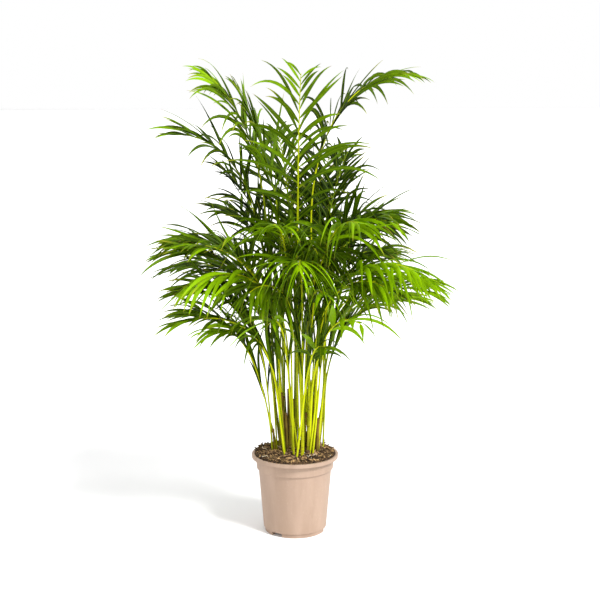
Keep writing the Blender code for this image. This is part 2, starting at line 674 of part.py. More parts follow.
def main():
    """Clear the scene and build every piece, from the pot up."""
    for thing in list(bpy.data.objects):
        bpy.data.objects.remove(thing)
    make_pot()
    make_soil()
    make_canes()
    bpy.context.view_layer.update()
    standing = [thing for thing in bpy.context.scene.objects if not thing.hide_render]
    earlier = [skin(*evaluated(thing)) for thing in standing]
    plant = grow_plant()
    stalks = [stalk_skin(frond, stalk) for frond, stalk in plant]
    for number, (frond, stalk) in enumerate(plant):
        others = earlier + stalks[:number] + stalks[number + 1:]
        earlier.append(make_frond(number, frond, stalk, others, stalks[number]))


if __name__ == "__main__":
    main()
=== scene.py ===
"""Looks of a potted areca palm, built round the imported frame.

The frame gives every solid its place.  Each frond, cane, the soil and the pot are
made here again as fine surfaces that stand for those solids: a shape is a profile
carried along a path, or a function on a grid, worked out as whole numpy arrays.
Units are metres, +Z is up, and -Y is the plant's front.
"""

from __future__ import annotations

import logging
import math
import sys
from dataclasses import dataclass, field, replace
from enum import Enum
from typing import Sequence

import bpy
import numpy as np
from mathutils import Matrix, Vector

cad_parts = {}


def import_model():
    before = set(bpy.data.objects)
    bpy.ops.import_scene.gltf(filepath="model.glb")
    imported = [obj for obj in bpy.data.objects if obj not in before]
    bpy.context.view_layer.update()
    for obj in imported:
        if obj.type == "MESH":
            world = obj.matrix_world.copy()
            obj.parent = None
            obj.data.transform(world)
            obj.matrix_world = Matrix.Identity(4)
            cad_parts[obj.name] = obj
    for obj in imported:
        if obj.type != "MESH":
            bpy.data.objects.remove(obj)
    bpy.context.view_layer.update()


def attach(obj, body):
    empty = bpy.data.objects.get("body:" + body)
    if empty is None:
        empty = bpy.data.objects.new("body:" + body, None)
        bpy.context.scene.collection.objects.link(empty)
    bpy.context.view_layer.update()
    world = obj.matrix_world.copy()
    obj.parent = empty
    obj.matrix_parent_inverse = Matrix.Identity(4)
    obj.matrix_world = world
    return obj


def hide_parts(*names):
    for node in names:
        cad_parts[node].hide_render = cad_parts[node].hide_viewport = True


LOG = logging.getLogger("potted_palm")
Array = np.ndarray
Colour = tuple[float, float, float]
Span = tuple[float, float]
BODY = "root"
UP = np.array([0.0, 0.0, 1.0])
UV_LAYER = "surface"
TONE = "tone"


# ------------------------------------------------------------------ growth
@dataclass(frozen=True)
class Cane:
    """One stem: foot position on the soil (mm), length above it (m) and its lean (degrees)."""

    x: float
    y: float
    length: float
    lean: float
    towards: float


@dataclass(frozen=True)
class Frond:
    """One feather leaf, from the top of its cane to the tip of its blade.

    The stalk's lean from vertical runs from ``foot`` to ``tip`` degrees; a larger
    ``bend`` keeps it straight for longer.  Leaflets leave the rachis at ``spread``
    degrees, raised out of its plane by ``vee`` degrees, and ``droop`` curves them down.
    ``wide`` widens them, and ``lime`` is the leaf's colour, from 0, deep green, to 1,
    fresh lime; the low lime of fronds that lie in shadow at the back and inside is partly painted shade.
    """

    name: str
    cane: int
    heading: float
    petiole: float
    blade: float
    foot: float
    tip: float
    bend: float = 1.6
    pairs: int = 12
    leaflet: float = 0.19
    droop: float = 0.9
    spread: float = 56.0
    vee: float = 22.0
    wide: float = 1.0
    lime: float = 0.3

    @property
    def neck(self) -> float:
        """Share of the whole stalk that is bare petiole."""
        return self.petiole / (self.petiole + self.blade)


CANES: dict[int, Cane] = {
    1: Cane(-43, -7, 0.08, 11, 186),
    2: Cane(-35, 22, 0.21, 6, 165),
    3: Cane(-23, 2, 0.23, 4, 175),
    4: Cane(-17, 38, 0.19, 6, 125),
    5: Cane(-6, -34, 0.18, 5, 250),
    6: Cane(4, 22, 0.25, 3, 90),
    7: Cane(3, -10, 0.27, 1, 0),
    8: Cane(16, -54, 0.16, 5, 280),
    9: Cane(21, -4, 0.24, 2, 340),
    10: Cane(30, -36, 0.19, 5, 300),
    11: Cane(24, 42, 0.21, 5, 70),
    12: Cane(42, -24, 0.17, 6, 325),
    13: Cane(40, 16, 0.23, 4, 25),
    14: Cane(55, -6, 0.21, 5, 350),
    15: Cane(58, 22, 0.19, 6, 20),
    16: Cane(-27, -28, 0.17, 6, 225),
}

# Low lime on fronds that lie in shadow at the back and inside the plant, such as shoulder_right and the rear_
# and back_ fronds, is partly painted shade.
FRONDS: tuple[Frond, ...] = (
    Frond("crown_centre", 7, 272, 0.31, 0.41, 13, 64, 3.2, 16, 0.17, droop=1.3, spread=60, lime=0.7),
    Frond("crown_left", 2, 158, 0.46, 0.28, 1, 54, 3.2, 13, 0.18, droop=0.5, spread=30, lime=1.0),
    Frond("crown_right", 14, 18, 0.47, 0.36, -8, 96, 3.0, 15, 0.16, spread=36, lime=0.2),
    Frond("shoulder_left", 2, 172, 0.43, 0.23, 0, 94, 3.4, 11, 0.14, spread=46, lime=0.1),
    Frond("inner_left", 3, 165, 0.33, 0.31, -6, 28, 1.4, 11, 0.16, spread=38, lime=0.7),
    Frond("shoulder_right", 13, 66, 0.28, 0.26, 4, 50, 1.6, 9, 0.13, lime=0.0),
    Frond("middle_right", 15, 36, 0.31, 0.18, -3, 98, 2.2, 10, 0.12, spread=46, lime=0.1),
    Frond("fan_right", 9, 330, 0.26, 0.25, -6, 114, 1.8, 12, 0.15, spread=46, lime=0.4),
    Frond("bright_right", 12, 314, 0.30, 0.21, -8, 104, 1.2, 12, 0.17, droop=2.0, vee=4, lime=1.0),
    Frond("long_right", 14, 338, 0.13, 0.24, -2, 102, 1.0, 11, 0.16, spread=44, lime=0.3),
    Frond("low_right", 15, 22, 0.10, 0.24, -2, 104, 0.9, 11, 0.14, spread=42, lime=0.4),
    Frond("short_right", 10, 300, 0.15, 0.16, 18, 108, 1.6, 4, 0.12, droop=1.6, wide=1.5, lime=0.9),
    Frond("low_left", 16, 205, 0.12, 0.21, -4, 100, 0.9, 9, 0.15, spread=42, lime=0.3),
    Frond("lowest_left", 16, 200, 0.085, 0.17, -4, 100, 1.0, 8, 0.13, droop=1.6, spread=44, lime=0.5),
    Frond("thin_left", 1, 172, 0.18, 0.18, 12, 95, 2.2, 9, 0.15, spread=38, lime=0.4),
    Frond("dark_left", 3, 192, 0.07, 0.23, 8, 100, 1.3, 10, 0.15, spread=46, lime=0.1),
    Frond("bright_left", 5, 212, 0.25, 0.19, -4, 120, 1.6, 12, 0.17, droop=2.2, vee=4, lime=1.0),
    Frond("far_left", 2, 180, 0.235, 0.195, -4, 102, 1.3, 10, 0.14, spread=40, lime=0.3),
    Frond("back_left", 4, 150, 0.17, 0.28, -6, 108, 1.0, 12, 0.16, spread=48, lime=0.2),
    Frond("upper_left", 4, 150, 0.26, 0.26, -3, 46, 1.4, 11, 0.16, lime=0.2),
    Frond("front_left", 16, 220, 0.24, 0.24, -2, 86, 1.5, 11, 0.16, lime=0.4),
    Frond("rear_left", 4, 132, 0.26, 0.23, -2, 78, 1.5, 11, 0.14, lime=0.1),
    Frond("rear_high", 6, 100, 0.28, 0.32, 2, 62, 1.4, 13, 0.16, lime=0.1),
    Frond("rear_right", 11, 76, 0.30, 0.30, 4, 66, 1.5, 12, 0.15, lime=0.1),
    Frond("front_high", 5, 262, 0.30, 0.24, 4, 92, 2.0, 12, 0.16, droop=1.6, vee=8, lime=0.5),
    Frond("front_right", 10, 292, 0.30, 0.24, 4, 94, 2.0, 12, 0.16, droop=1.6, vee=8, lime=0.6),
    Frond("droop_right", 12, 332, 0.24, 0.20, -2, 102, 1.3, 11, 0.16, droop=1.4, lime=0.7),
    Frond("side_right", 13, 44, 0.15, 0.29, -2, 108, 0.9, 12, 0.16, lime=0.2),
    Frond("back_middle", 6, 80, 0.22, 0.28, 2, 88, 1.6, 12, 0.16, lime=0.1),
    Frond("back_right", 11, 56, 0.22, 0.28, 0, 94, 1.3, 12, 0.16, lime=0.1),
    Frond("front_hang", 8, 268, 0.30, 0.20, -2, 116, 2.0, 11, 0.17, droop=2.2, vee=0, lime=0.7),
    Frond("broad_front", 5, 256, 0.16, 0.13, 10, 104, 1.6, 4, 0.14, droop=1.6, wide=1.5, lime=0.7),
    Frond("broad_middle", 9, 296, 0.16, 0.14, 14, 104, 1.6, 4, 0.15, droop=1.6, wide=1.6, lime=0.8),
    Frond("broad_low", 8, 290, 0.10, 0.12, 8, 96, 1.4, 4, 0.11, droop=1.4, wide=1.5, lime=0.5),
    Frond("fan_left", 3, 178, 0.23, 0.18, -2, 98, 1.6, 11, 0.15, spread=48, lime=0.15),
    Frond("side_left", 1, 186, 0.24, 0.18, 4, 98, 2.4, 10, 0.15, spread=40, lime=0.3),
    Frond("hang_left", 8, 236, 0.24, 0.17, 0, 112, 1.8, 10, 0.16, droop=2.2, vee=0, lime=0.4),
    Frond("hang_middle", 7, 282, 0.20, 0.17, 0, 112, 1.8, 10, 0.16, droop=2.2, vee=0, lime=0.3),
    Frond("hang_right", 10, 316, 0.21, 0.18, 0, 108, 1.6, 10, 0.16, droop=2.2, vee=0, lime=0.5),
    Frond("inner_right", 9, 24, 0.20, 0.20, 2, 88, 1.6, 11, 0.16, droop=1.4, lime=0.1),
    Frond("inner_back", 7, 104, 0.17, 0.20, 2, 92, 1.6, 11, 0.16, droop=1.6, lime=0.0),
    Frond("rear_side", 11, 44, 0.17, 0.24, 0, 98, 1.2, 11, 0.15, droop=1.2, lime=0.15),
)


def unit(vectors: Array) -> Array:
    """Scale each row to length one."""
    return vectors / np.linalg.norm(vectors, axis=-1, keepdims=True)


def direction(lean: Array | float, heading: Array | float) -> Array:
    """Unit vectors that lean from vertical towards a heading.

    Args:
        lean: angle from vertical in degrees.
        heading: bearing of the lean in degrees, 0 along +X.

    Returns:
        The vectors, one row each: the sine of the lean spread over X and Y by the
        heading, and its cosine along Z.
    """
    lean, heading = np.radians(lean), np.radians(heading)
    flat = np.sin(lean)
    return np.stack([flat * np.cos(heading), flat * np.sin(heading), np.cos(lean) + 0 * flat], -1)


def at_way(rows: Array, way: Array) -> Array:
    """Read a curve between its points, as a weighted mean of the rows on either side.

    Args:
        rows: the curve's points or directions, evenly spaced.
        way: fractions of its length.

    Returns:
        One row for each fraction.
    """
    place = np.asarray(way) * (len(rows) - 1)
    low = np.minimum(place.astype(int), len(rows) - 2)
    part = (place - low)[..., None]
    return rows[low] * (1 - part) + rows[low + 1] * part


@dataclass(frozen=True)
class Stalk:
    """A stalk's curve: points, and the directions ahead, to its left side and out of its face."""

    points: Array
    ahead: Array
    side: Array
    face: Array

    def at(self, way: Array) -> tuple[Array, Array, Array, Array]:
        """Point, ahead, side and face at fractions of the stalk's length."""
        return tuple(at_way(rows, way) for rows in (self.points, self.ahead, self.side, self.face))


@dataclass(frozen=True)
class LeafletPlan:
    """Place on the blade, side, length, spread, droop and lift of each leaflet, neck to tip."""

    place: Array
    side: Array
    length: Array
    spread: Array
    droop: Array
    vee: Array


@dataclass
class Growth:
    """Grows the stalks by the same rules and clearances as the frame's solids."""

    soil_edge: float = 0.184
    soil_rise: float = 0.010
    soil_reach: float = 0.095
    cane_foot_radius: float = 0.0048
    cane_top_radius: float = 0.0040
    petiole_radius: float = 0.0025
    rachis_tip_radius: float = 0.0010
    gap: float = 0.0003
    stem_gap: float = 0.0010
    socket_reach: float = 0.0033
    socket_crowding: float = 1.42
    samples: int = 160
    curve_points: int = 81
    swings: list[tuple[int, int]] = field(default_factory=lambda: sorted(
        ((swing, lean) for swing in range(-15, 16, 3) for lean in range(-4, 5, 2)),
        key=lambda way: (abs(way[0]) + 2 * abs(way[1]), way)))

    def soil_height(self, x: Array | float, y: Array | float) -> Array | float:
        """Height of the soil: a low dome, level with the edge at the pot's wall."""
        reach = np.hypot(x, y) / self.soil_reach
        return self.soil_edge + self.soil_rise * (1.0 - np.minimum(reach, 1.0) ** 2)

    def cane_line(self, cane: Cane) -> tuple[Array, Array, Array]:
        """Ends of a cane: its foot stands on the soil, and its top lies along its lean.

        Args:
            cane: the stem's few values.

        Returns:
            The foot, the top and the direction of the axis.
        """
        foot = np.array([cane.x / 1000, cane.y / 1000, 0.0])
        foot[2] = self.soil_height(foot[0], foot[1])
        axis = direction(cane.lean, cane.towards)
        return foot, foot + axis * cane.length, axis

    def stalk(self, frond: Frond, start: Array, count: int) -> Stalk:
        """Bend a stalk: its lean grows as (way along) ** bend, and its steps are summed.

        Args:
            frond: the leaf's few values.
            start: the petiole's foot.
            count: points along the curve.

        Returns:
            The curve with its frame at each point.
        """
        way = np.linspace(0.0, 1.0, count)
        middle = (way[1:] + way[:-1]) / 2
        step = (frond.petiole + frond.blade) / (count - 1)

        def lean(at: Array) -> Array:
            """Lean from vertical, in degrees, at a share of the stalk."""
            return frond.foot + (frond.tip - frond.foot) * at ** frond.bend

        steps = direction(lean(middle), frond.heading) * step
        points = np.concatenate([start[None], start + np.cumsum(steps, 0)])
        ahead = direction(lean(way), frond.heading)
        bearing = math.radians(frond.heading)
        side = np.tile([-math.sin(bearing), math.cos(bearing), 0.0], (count, 1))
        return Stalk(points, ahead, side, np.cross(ahead, side))

    def stalk_radius(self, way: Array, frond: Frond) -> Array:
        """Petiole radius up to the blade, then an even taper to the rachis tip."""
        taper = np.clip((way - frond.neck) / (1 - frond.neck), 0, 1)
        return self.petiole_radius + (self.rachis_tip_radius - self.petiole_radius) * taper

    def stem_samples(self, frond: Frond, start: Array) -> tuple[Array, Array]:
        """Points along a stalk and its radius at each, for the clearance test."""
        points = self.stalk(frond, start, self.samples).points
        return points, self.stalk_radius(np.linspace(0, 1, self.samples), frond)

    @staticmethod
    def free_space(points: Array, radii: Array, others: Sequence[tuple[Array, Array]]) -> float:
        """Smallest distance between the skins of one stem and all the stems before it.

        Args:
            points: points along the stem.
            radii: its radius at each.
            others: points and radii of each stem before it.

        Returns:
            Distance of the closest two points, less their radii, and at most one metre.
        """
        least = 1.0
        for other_points, other_radii in others:
            apart = np.linalg.norm(points[:, None] - other_points[None], axis=-1)
            least = min(least, float((apart - radii[:, None] - other_radii[None]).min()))
        return least

    def socket_offset(self, frond: Frond) -> Array:
        """Where a petiole stands on its cane's top: side by side, in order of heading.

        Args:
            frond: the leaf whose petiole it is.

        Returns:
            The step from the middle of the cane's top, level, further out where three or
            more share the cane.
        """
        siblings = [one for one in FRONDS if one.cane == frond.cane]
        if len(siblings) == 1:
            return np.zeros(3)
        ordered = sorted(siblings, key=lambda one: one.heading)
        middle = sum(one.heading for one in siblings) / len(siblings)
        rank = 2.0 * ordered.index(frond) / (len(siblings) - 1) - 1.0
        angle = math.radians(middle + 90 * rank)
        reach = self.socket_reach * (1.0 if len(siblings) == 2 else self.socket_crowding)
        return np.array([math.cos(angle), math.sin(angle), 0.0]) * reach

    def plant(self) -> list[tuple[Frond, Stalk]]:
        """Set every frond on its cane, and swing a stalk aside where it would meet another.

        Returns:
            Each frond as it was swung, with its stalk.
        """
        stems = []
        for cane in CANES.values():
            foot, top, _ = self.cane_line(cane)
            way = np.linspace(0, 1, self.samples)[:, None]
            radii = self.cane_foot_radius + (self.cane_top_radius - self.cane_foot_radius) * way[:, 0]
            stems.append((foot + (top - foot) * way, radii))
        grown = []
        for frond in FRONDS:
            start = self.cane_line(CANES[frond.cane])[1] + self.socket_offset(frond)
            start[2] += self.gap
            others = [stem for index, stem in enumerate(stems) if index + 1 != frond.cane]
            choices = []
            for swing, lean in self.swings:
                moved = replace(frond, heading=frond.heading + swing, foot=frond.foot + lean)
                space = self.free_space(*self.stem_samples(moved, start), others)
                choices.append((space, moved))
                if space > self.stem_gap:
                    break
            moved = max(choices, key=lambda choice: min(choice[0], self.stem_gap))[1]
            stems.append(self.stem_samples(moved, start))
            grown.append((moved, self.stalk(moved, start, self.curve_points)))
        return grown

    @staticmethod
    def leaflet_plan(frond: Frond, seed: int) -> LeafletPlan:
        """Lay out the leaflets: alternating, longest at a third of the blade, closing to its tip.

        Args:
            frond: the leaf's few values.
            seed: seed of the unevenness.

        Returns:
            The layout, each value with a small random part.
        """
        count = 2 * frond.pairs
        place = (np.arange(count) + 0.5) / count
        side = np.where(np.arange(count) % 2, -1.0, 1.0)
        jitter = np.clip(np.random.default_rng(seed).normal(0, 1, (3, count)), -2, 2)
        rise = 0.62 + 0.38 * np.sin(np.minimum(place / 0.35, 1) * math.pi / 2)
        fall = 1 - 0.55 * np.clip((place - 0.35) / 0.65, 0, 1) ** 1.5
        length = frond.leaflet * np.minimum(rise, fall) * (1 + 0.06 * jitter[0])
        spread = np.radians(frond.spread * (1 - 0.5 * place) + 3.0 * jitter[1])
        droop = frond.droop * (1 + 0.15 * jitter[2]) * (1 - 0.3 * place)
        return LeafletPlan(place, side, length, spread, droop, np.full(count, math.radians(frond.vee)))

    @staticmethod
    def leaflet_lines(frond: Frond, stalk: Stalk, plan: LeafletPlan, steps: int) -> Array:
        """Middle lines of the leaflets.

        A leaflet leaves the rachis sideways and upwards in a V, and its direction then
        turns down by droop times (way along) ** 1.3 at each of its steps.

        Args:
            frond: the leaf's few values.
            stalk: the curve that the leaflets grow from.
            plan: their layout.
            steps: steps along each line.

        Returns:
            Points, leaflet by leaflet: an array of count, steps + 1 and 3.
        """
        base, ahead, across, up = stalk.at(frond.neck + (1 - frond.neck) * plan.place)
        out = across * (plan.side * np.cos(plan.vee))[:, None] + up * np.sin(plan.vee)[:, None]
        first = ahead * np.cos(plan.spread)[:, None] + out * np.sin(plan.spread)[:, None]
        way = (np.arange(steps) + 0.5) / steps
        fall = plan.droop[:, None] * way[None] ** 1.3
        course = unit(first[:, None] - fall[..., None] * UP)
        course = course * (plan.length / steps)[:, None, None]
        return np.concatenate([base[:, None], base[:, None] + np.cumsum(course, 1)], 1)


# ------------------------------------------------------------------ surfaces
@dataclass
class Surface:
    """A surface on its way to a mesh: points, quads and triangles, and the maps they carry.

    Each point carries three tones between 0 and 1, whose use the finish says.
    """

    points: Array
    quads: Array
    triangles: Array
    quad_uv: Array
    triangle_uv: Array
    tones: Array
    slots: Array

    @classmethod
    def join(cls, surfaces: Sequence[Surface]) -> Surface:
        """Put several surfaces in one, keeping each one's points apart.

        Args:
            surfaces: the surfaces in order.

        Returns:
            One surface, with all the quads before all the triangles.
        """
        starts = np.cumsum([0] + [len(one.points) for one in surfaces])
        return cls(
            np.concatenate([one.points for one in surfaces]),
            np.concatenate([one.quads + start for one, start in zip(surfaces, starts)]),
            np.concatenate([one.triangles + start for one, start in zip(surfaces, starts)]),
            np.concatenate([one.quad_uv for one in surfaces]),
            np.concatenate([one.triangle_uv for one in surfaces]),
            np.concatenate([one.tones for one in surfaces]),
            np.concatenate([one.slots[:len(one.quads)] for one in surfaces]
                           + [one.slots[len(one.quads):] for one in surfaces]))

    def volume(self) -> float:
        """Signed volume: a sixth of the sum of the triple products of all the triangles.

        Returns:
            The volume, below zero when the faces point inwards.
        """
        fans = np.concatenate([self.quads[:, [0, 1, 2]], self.quads[:, [0, 2, 3]], self.triangles])
        a, b, c = (self.points[fans[:, corner]] for corner in range(3))
        return float(np.einsum("ij,ij->i", a, np.cross(b, c)).sum()) / 6

    def outwards(self) -> Surface:
        """Turn the faces out, judged by the volume.

        Returns:
            This surface, or the same one with every face turned over.
        """
        if self.volume() >= 0:
            return self
        return replace(self, quads=self.quads[:, ::-1], triangles=self.triangles[:, ::-1],
                       quad_uv=self.quad_uv[:, ::-1], triangle_uv=self.triangle_uv[:, ::-1])


def loft(rings: Array, tones: Array | Sequence[float] = (0.5, 0.5, 0.5), slot: int = 0,
         across: Array | None = None, along: Array | None = None) -> Surface:
    """Skin batches of rings into closed surfaces with a pole in the middle of each end.

    Args:
        rings: points as batch, ring, corner and 3.
        tones: three tones for each point, or values that spread to that shape.
        slot: material slot of the faces.
        across: map coordinate of each corner round a ring; even and wrapped if None.
        along: map coordinate of each ring; even if None.

    Returns:
        The surface, with its faces turned out.
    """
    batch, count, sides, _ = rings.shape
    following = (np.arange(sides) + 1) % sides
    here = np.arange(sides) / sides if across is None else across
    there = (np.arange(sides) + 1) / sides if across is None else across[following]
    v = np.linspace(0, 1, count) if along is None else along
    rows = np.arange(count - 1)[:, None] * sides
    low, low_next = rows + np.arange(sides), rows + following
    quads = np.stack([low, low_next, low_next + sides, low + sides], -1).reshape(-1, 4)
    u_quad = np.broadcast_to(np.stack([here, there, there, here], -1), (count - 1, sides, 4))
    v_quad = np.broadcast_to(np.stack([v[:-1], v[:-1], v[1:], v[1:]], -1)[:, None], (count - 1, sides, 4))
    root, tip, top = count * sides, count * sides + 1, (count - 1) * sides
    edge = np.arange(sides)
    triangles = np.concatenate([np.stack([root + 0 * edge, following, edge], -1),
                                np.stack([top + edge, top + following, tip + 0 * edge], -1)])
    middle = (here + there) / 2
    u_cap = np.concatenate([np.stack([middle, there, here], -1), np.stack([here, there, middle], -1)])
    v_cap = np.repeat([[v[0]] * 3, [v[-1]] * 3], sides, 0)
    points = np.concatenate([rings.reshape(batch, -1, 3), rings[:, :1].mean(2), rings[:, -1:].mean(2)], 1)
    full = np.broadcast_to(np.asarray(tones, float), (batch, count, sides, 3))
    ends = np.concatenate([full.reshape(batch, -1, 3), full[:, :1].mean(2), full[:, -1:].mean(2)], 1)
    shift = (np.arange(batch) * (count * sides + 2))[:, None, None]
    faces = batch * (len(quads) + len(triangles))
    return Surface(
        points.reshape(-1, 3),
        (quads[None] + shift).reshape(-1, 4),
        (triangles[None] + shift).reshape(-1, 3),
        np.tile(np.stack([u_quad, v_quad], -1).reshape(-1, 4, 2), (batch, 1, 1)),
        np.tile(np.stack([u_cap, v_cap], -1), (batch, 1, 1)),
        ends.reshape(-1, 3),
        np.full(faces, slot)).outwards()


def plane_waves(points: Array, seed: int, count: int, shortest: float, longest: float) -> Array:
    """Smooth noise: a sum of cosine waves with random courses, lengths and phases.

    Args:
        points: places, one row each, of any number of coordinates.
        seed: seed of the waves.
        count: number of waves.
        shortest: shortest wave.
        longest: longest wave; a shorter one is lower, as the root of its share.

    Returns:
        The noise at each place, of about unit size.
    """
    rng = np.random.default_rng(seed)
    size = np.exp(rng.uniform(math.log(shortest), math.log(longest), count))
    course = unit(rng.normal(0, 1, (count, points.shape[-1]))) * (2 * math.pi / size)[:, None]
    phase = rng.uniform(0, 2 * math.pi, count)
    waves = np.cos(points @ course.T + phase) * (size / longest) ** 0.5
    return waves.sum(-1) / math.sqrt(count)


@dataclass(frozen=True)
class Relief:
    """Soft random bumps: height, seed, number of waves, and the shortest and longest of them."""

    height: float
    seed: int
    waves: int
    shortest: float
    longest: float

    def at(self, places: Array) -> Array:
        """Height of the bumps at places."""
        return self.height * plane_waves(places, self.seed, self.waves, self.shortest, self.longest)


def mesh_of(name: str, surface: Surface) -> bpy.types.Mesh:
    """Turn a surface into a smooth mesh with its map, tones and material slots.

    Args:
        name: the mesh's name.
        surface: the points and faces.

    Returns:
        The mesh.
    """
    mesh = bpy.data.meshes.new(name)
    corners = np.concatenate([surface.quads.ravel(), surface.triangles.ravel()])
    quads, triangles = len(surface.quads), len(surface.triangles)
    mesh.vertices.add(len(surface.points))
    mesh.vertices.foreach_set("co", surface.points.ravel())
    mesh.loops.add(len(corners))
    mesh.loops.foreach_set("vertex_index", corners.astype(np.int32))
    mesh.polygons.add(quads + triangles)
    starts = np.concatenate([4 * np.arange(quads), 4 * quads + 3 * np.arange(triangles)])
    mesh.polygons.foreach_set("loop_start", starts.astype(np.int32))
    mesh.polygons.foreach_set("material_index", surface.slots.astype(np.int32))
    mesh.update(calc_edges=True)
    uv = np.concatenate([surface.quad_uv.reshape(-1, 2), surface.triangle_uv.reshape(-1, 2)])
    mesh.uv_layers.new(name=UV_LAYER).data.foreach_set("uv", uv.ravel())
    mesh.attributes.new(TONE, "FLOAT_VECTOR", "POINT").data.foreach_set("vector", surface.tones.ravel())
    mesh.shade_smooth()
    return mesh


def put(name: str, surface: Surface, finishes: Sequence[bpy.types.Material],
        nodes: Sequence[str] = (), sharp: float = 180.0) -> bpy.types.Object:
    """Make a surface a piece of the object that rides on its only body.

    Args:
        name: the piece's name.
        surface: its closed surface.
        finishes: materials, in the order of the surface's slots.
        nodes: the frame's solids that the piece stands for.
        sharp: edges that turn by more than this angle in degrees stay sharp.

    Returns:
        The object, at the origin, with its place in its mesh.
    """
    mesh = mesh_of(name, surface)
    for finish in finishes:
        mesh.materials.append(finish)
    if sharp < 180.0:
        mesh.set_sharp_from_angle(angle=math.radians(sharp))
    piece = bpy.data.objects.new(name, mesh)
    bpy.context.scene.collection.objects.link(piece)
    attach(piece, BODY)
    if nodes:
        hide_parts(*nodes)
    LOG.info("%s: %d faces", name, len(mesh.polygons))
    return piece


# ------------------------------------------------------------------ finishes
Socket = bpy.types.NodeSocket
Value = "Socket | float | Colour"


class Shader:
    """Writes the nodes of one material; every method returns the socket that it ends in."""

    def __init__(self, name: str) -> None:
        """Start an empty material with that name."""
        self.material = bpy.data.materials.new(name)
        self.material.use_nodes = True
        self.tree = self.material.node_tree
        self.tree.nodes.clear()

    def node(self, kind: str, inputs: dict[str | int, Value], **settings: object) -> bpy.types.Node:
        """Add a node, set its options, and link or set its inputs.

        Args:
            kind: the node's type.
            inputs: a socket to link or a value to set, by the input's name or number.
            **settings: the node's options.

        Returns:
            The node.
        """
        made = self.tree.nodes.new(kind)
        for name, value in settings.items():
            setattr(made, name, value)
        for key, value in inputs.items():
            if isinstance(value, bpy.types.NodeSocket):
                self.tree.links.new(value, made.inputs[key])
            elif isinstance(value, tuple) and made.inputs[key].type == "RGBA":
                made.inputs[key].default_value = (*value, 1.0)
            else:
                made.inputs[key].default_value = value
        return made

    def maths(self, operation: str, first: Value, second: Value = 0.0, clamp: bool = False) -> Socket:
        """One step of arithmetic."""
        return self.node("ShaderNodeMath", {0: first, 1: second}, operation=operation,
                         use_clamp=clamp).outputs[0]

    def span(self, value: Value, low: float, high: float, start: float = 0.0, end: float = 1.0) -> Socket:
        """Ease a value from start to end as it goes from low to high."""
        return self.node("ShaderNodeMapRange", {0: value, 1: low, 2: high, 3: start, 4: end},
                         interpolation_type="SMOOTHSTEP").outputs[0]

    def mix(self, factor: Value, first: Value, second: Value, blend: str = "MIX") -> Socket:
        """Blend two colours."""
        made = self.node("ShaderNodeMix", {0: factor, 6: first, 7: second}, data_type="RGBA",
                         blend_type=blend)
        return made.outputs[2]

    def object_place(self) -> Socket:
        """Coordinates in the object's own metres."""
        return self.node("ShaderNodeTexCoord", {}).outputs["Object"]

    def surface_map(self, across: float = 1.0, along: float = 1.0) -> Socket:
        """The surface's own map, stretched."""
        made = self.node("ShaderNodeUVMap", {}, uv_map=UV_LAYER)
        return self.node("ShaderNodeMapping", {0: made.outputs[0], 3: (across, along, 1.0)}).outputs[0]

    def parts(self, vector: Socket) -> tuple[Socket, Socket, Socket]:
        """The three numbers of a vector."""
        made = self.node("ShaderNodeSeparateXYZ", {0: vector})
        return made.outputs[0], made.outputs[1], made.outputs[2]

    def tones(self) -> tuple[Socket, Socket, Socket]:
        """The three tones that the surface carries."""
        made = self.node("ShaderNodeAttribute", {}, attribute_name=TONE, attribute_type="GEOMETRY")
        return self.parts(made.outputs["Vector"])

    def noise(self, place: Socket, scale: float, detail: float = 3.0, rough: float = 0.55) -> Socket:
        """Soft noise about 0.5."""
        return self.node("ShaderNodeTexNoise", {"Vector": place, "Scale": scale, "Detail": detail,
                                                "Roughness": rough}).outputs[0]

    def cells(self, place: Socket, scale: float) -> tuple[Socket, Socket]:
        """Distance to the nearest of scattered points, and a random colour for each."""
        made = self.node("ShaderNodeTexVoronoi", {"Vector": place, "Scale": scale})
        return made.outputs[0], made.outputs[1]

    def bump(self, height: Socket, strength: float, distance: float) -> Socket:
        """A normal that follows a height."""
        return self.node("ShaderNodeBump", {"Height": height, "Strength": strength,
                                            "Distance": distance}).outputs[0]

    def principled(self, inputs: dict[str, Value]) -> Socket:
        """The main surface shader."""
        return self.node("ShaderNodeBsdfPrincipled", inputs).outputs[0]

    def finish(self, surface: Socket) -> bpy.types.Material:
        """Join the shader to the output and return the material."""
        self.node("ShaderNodeOutputMaterial", {0: surface})
        return self.material


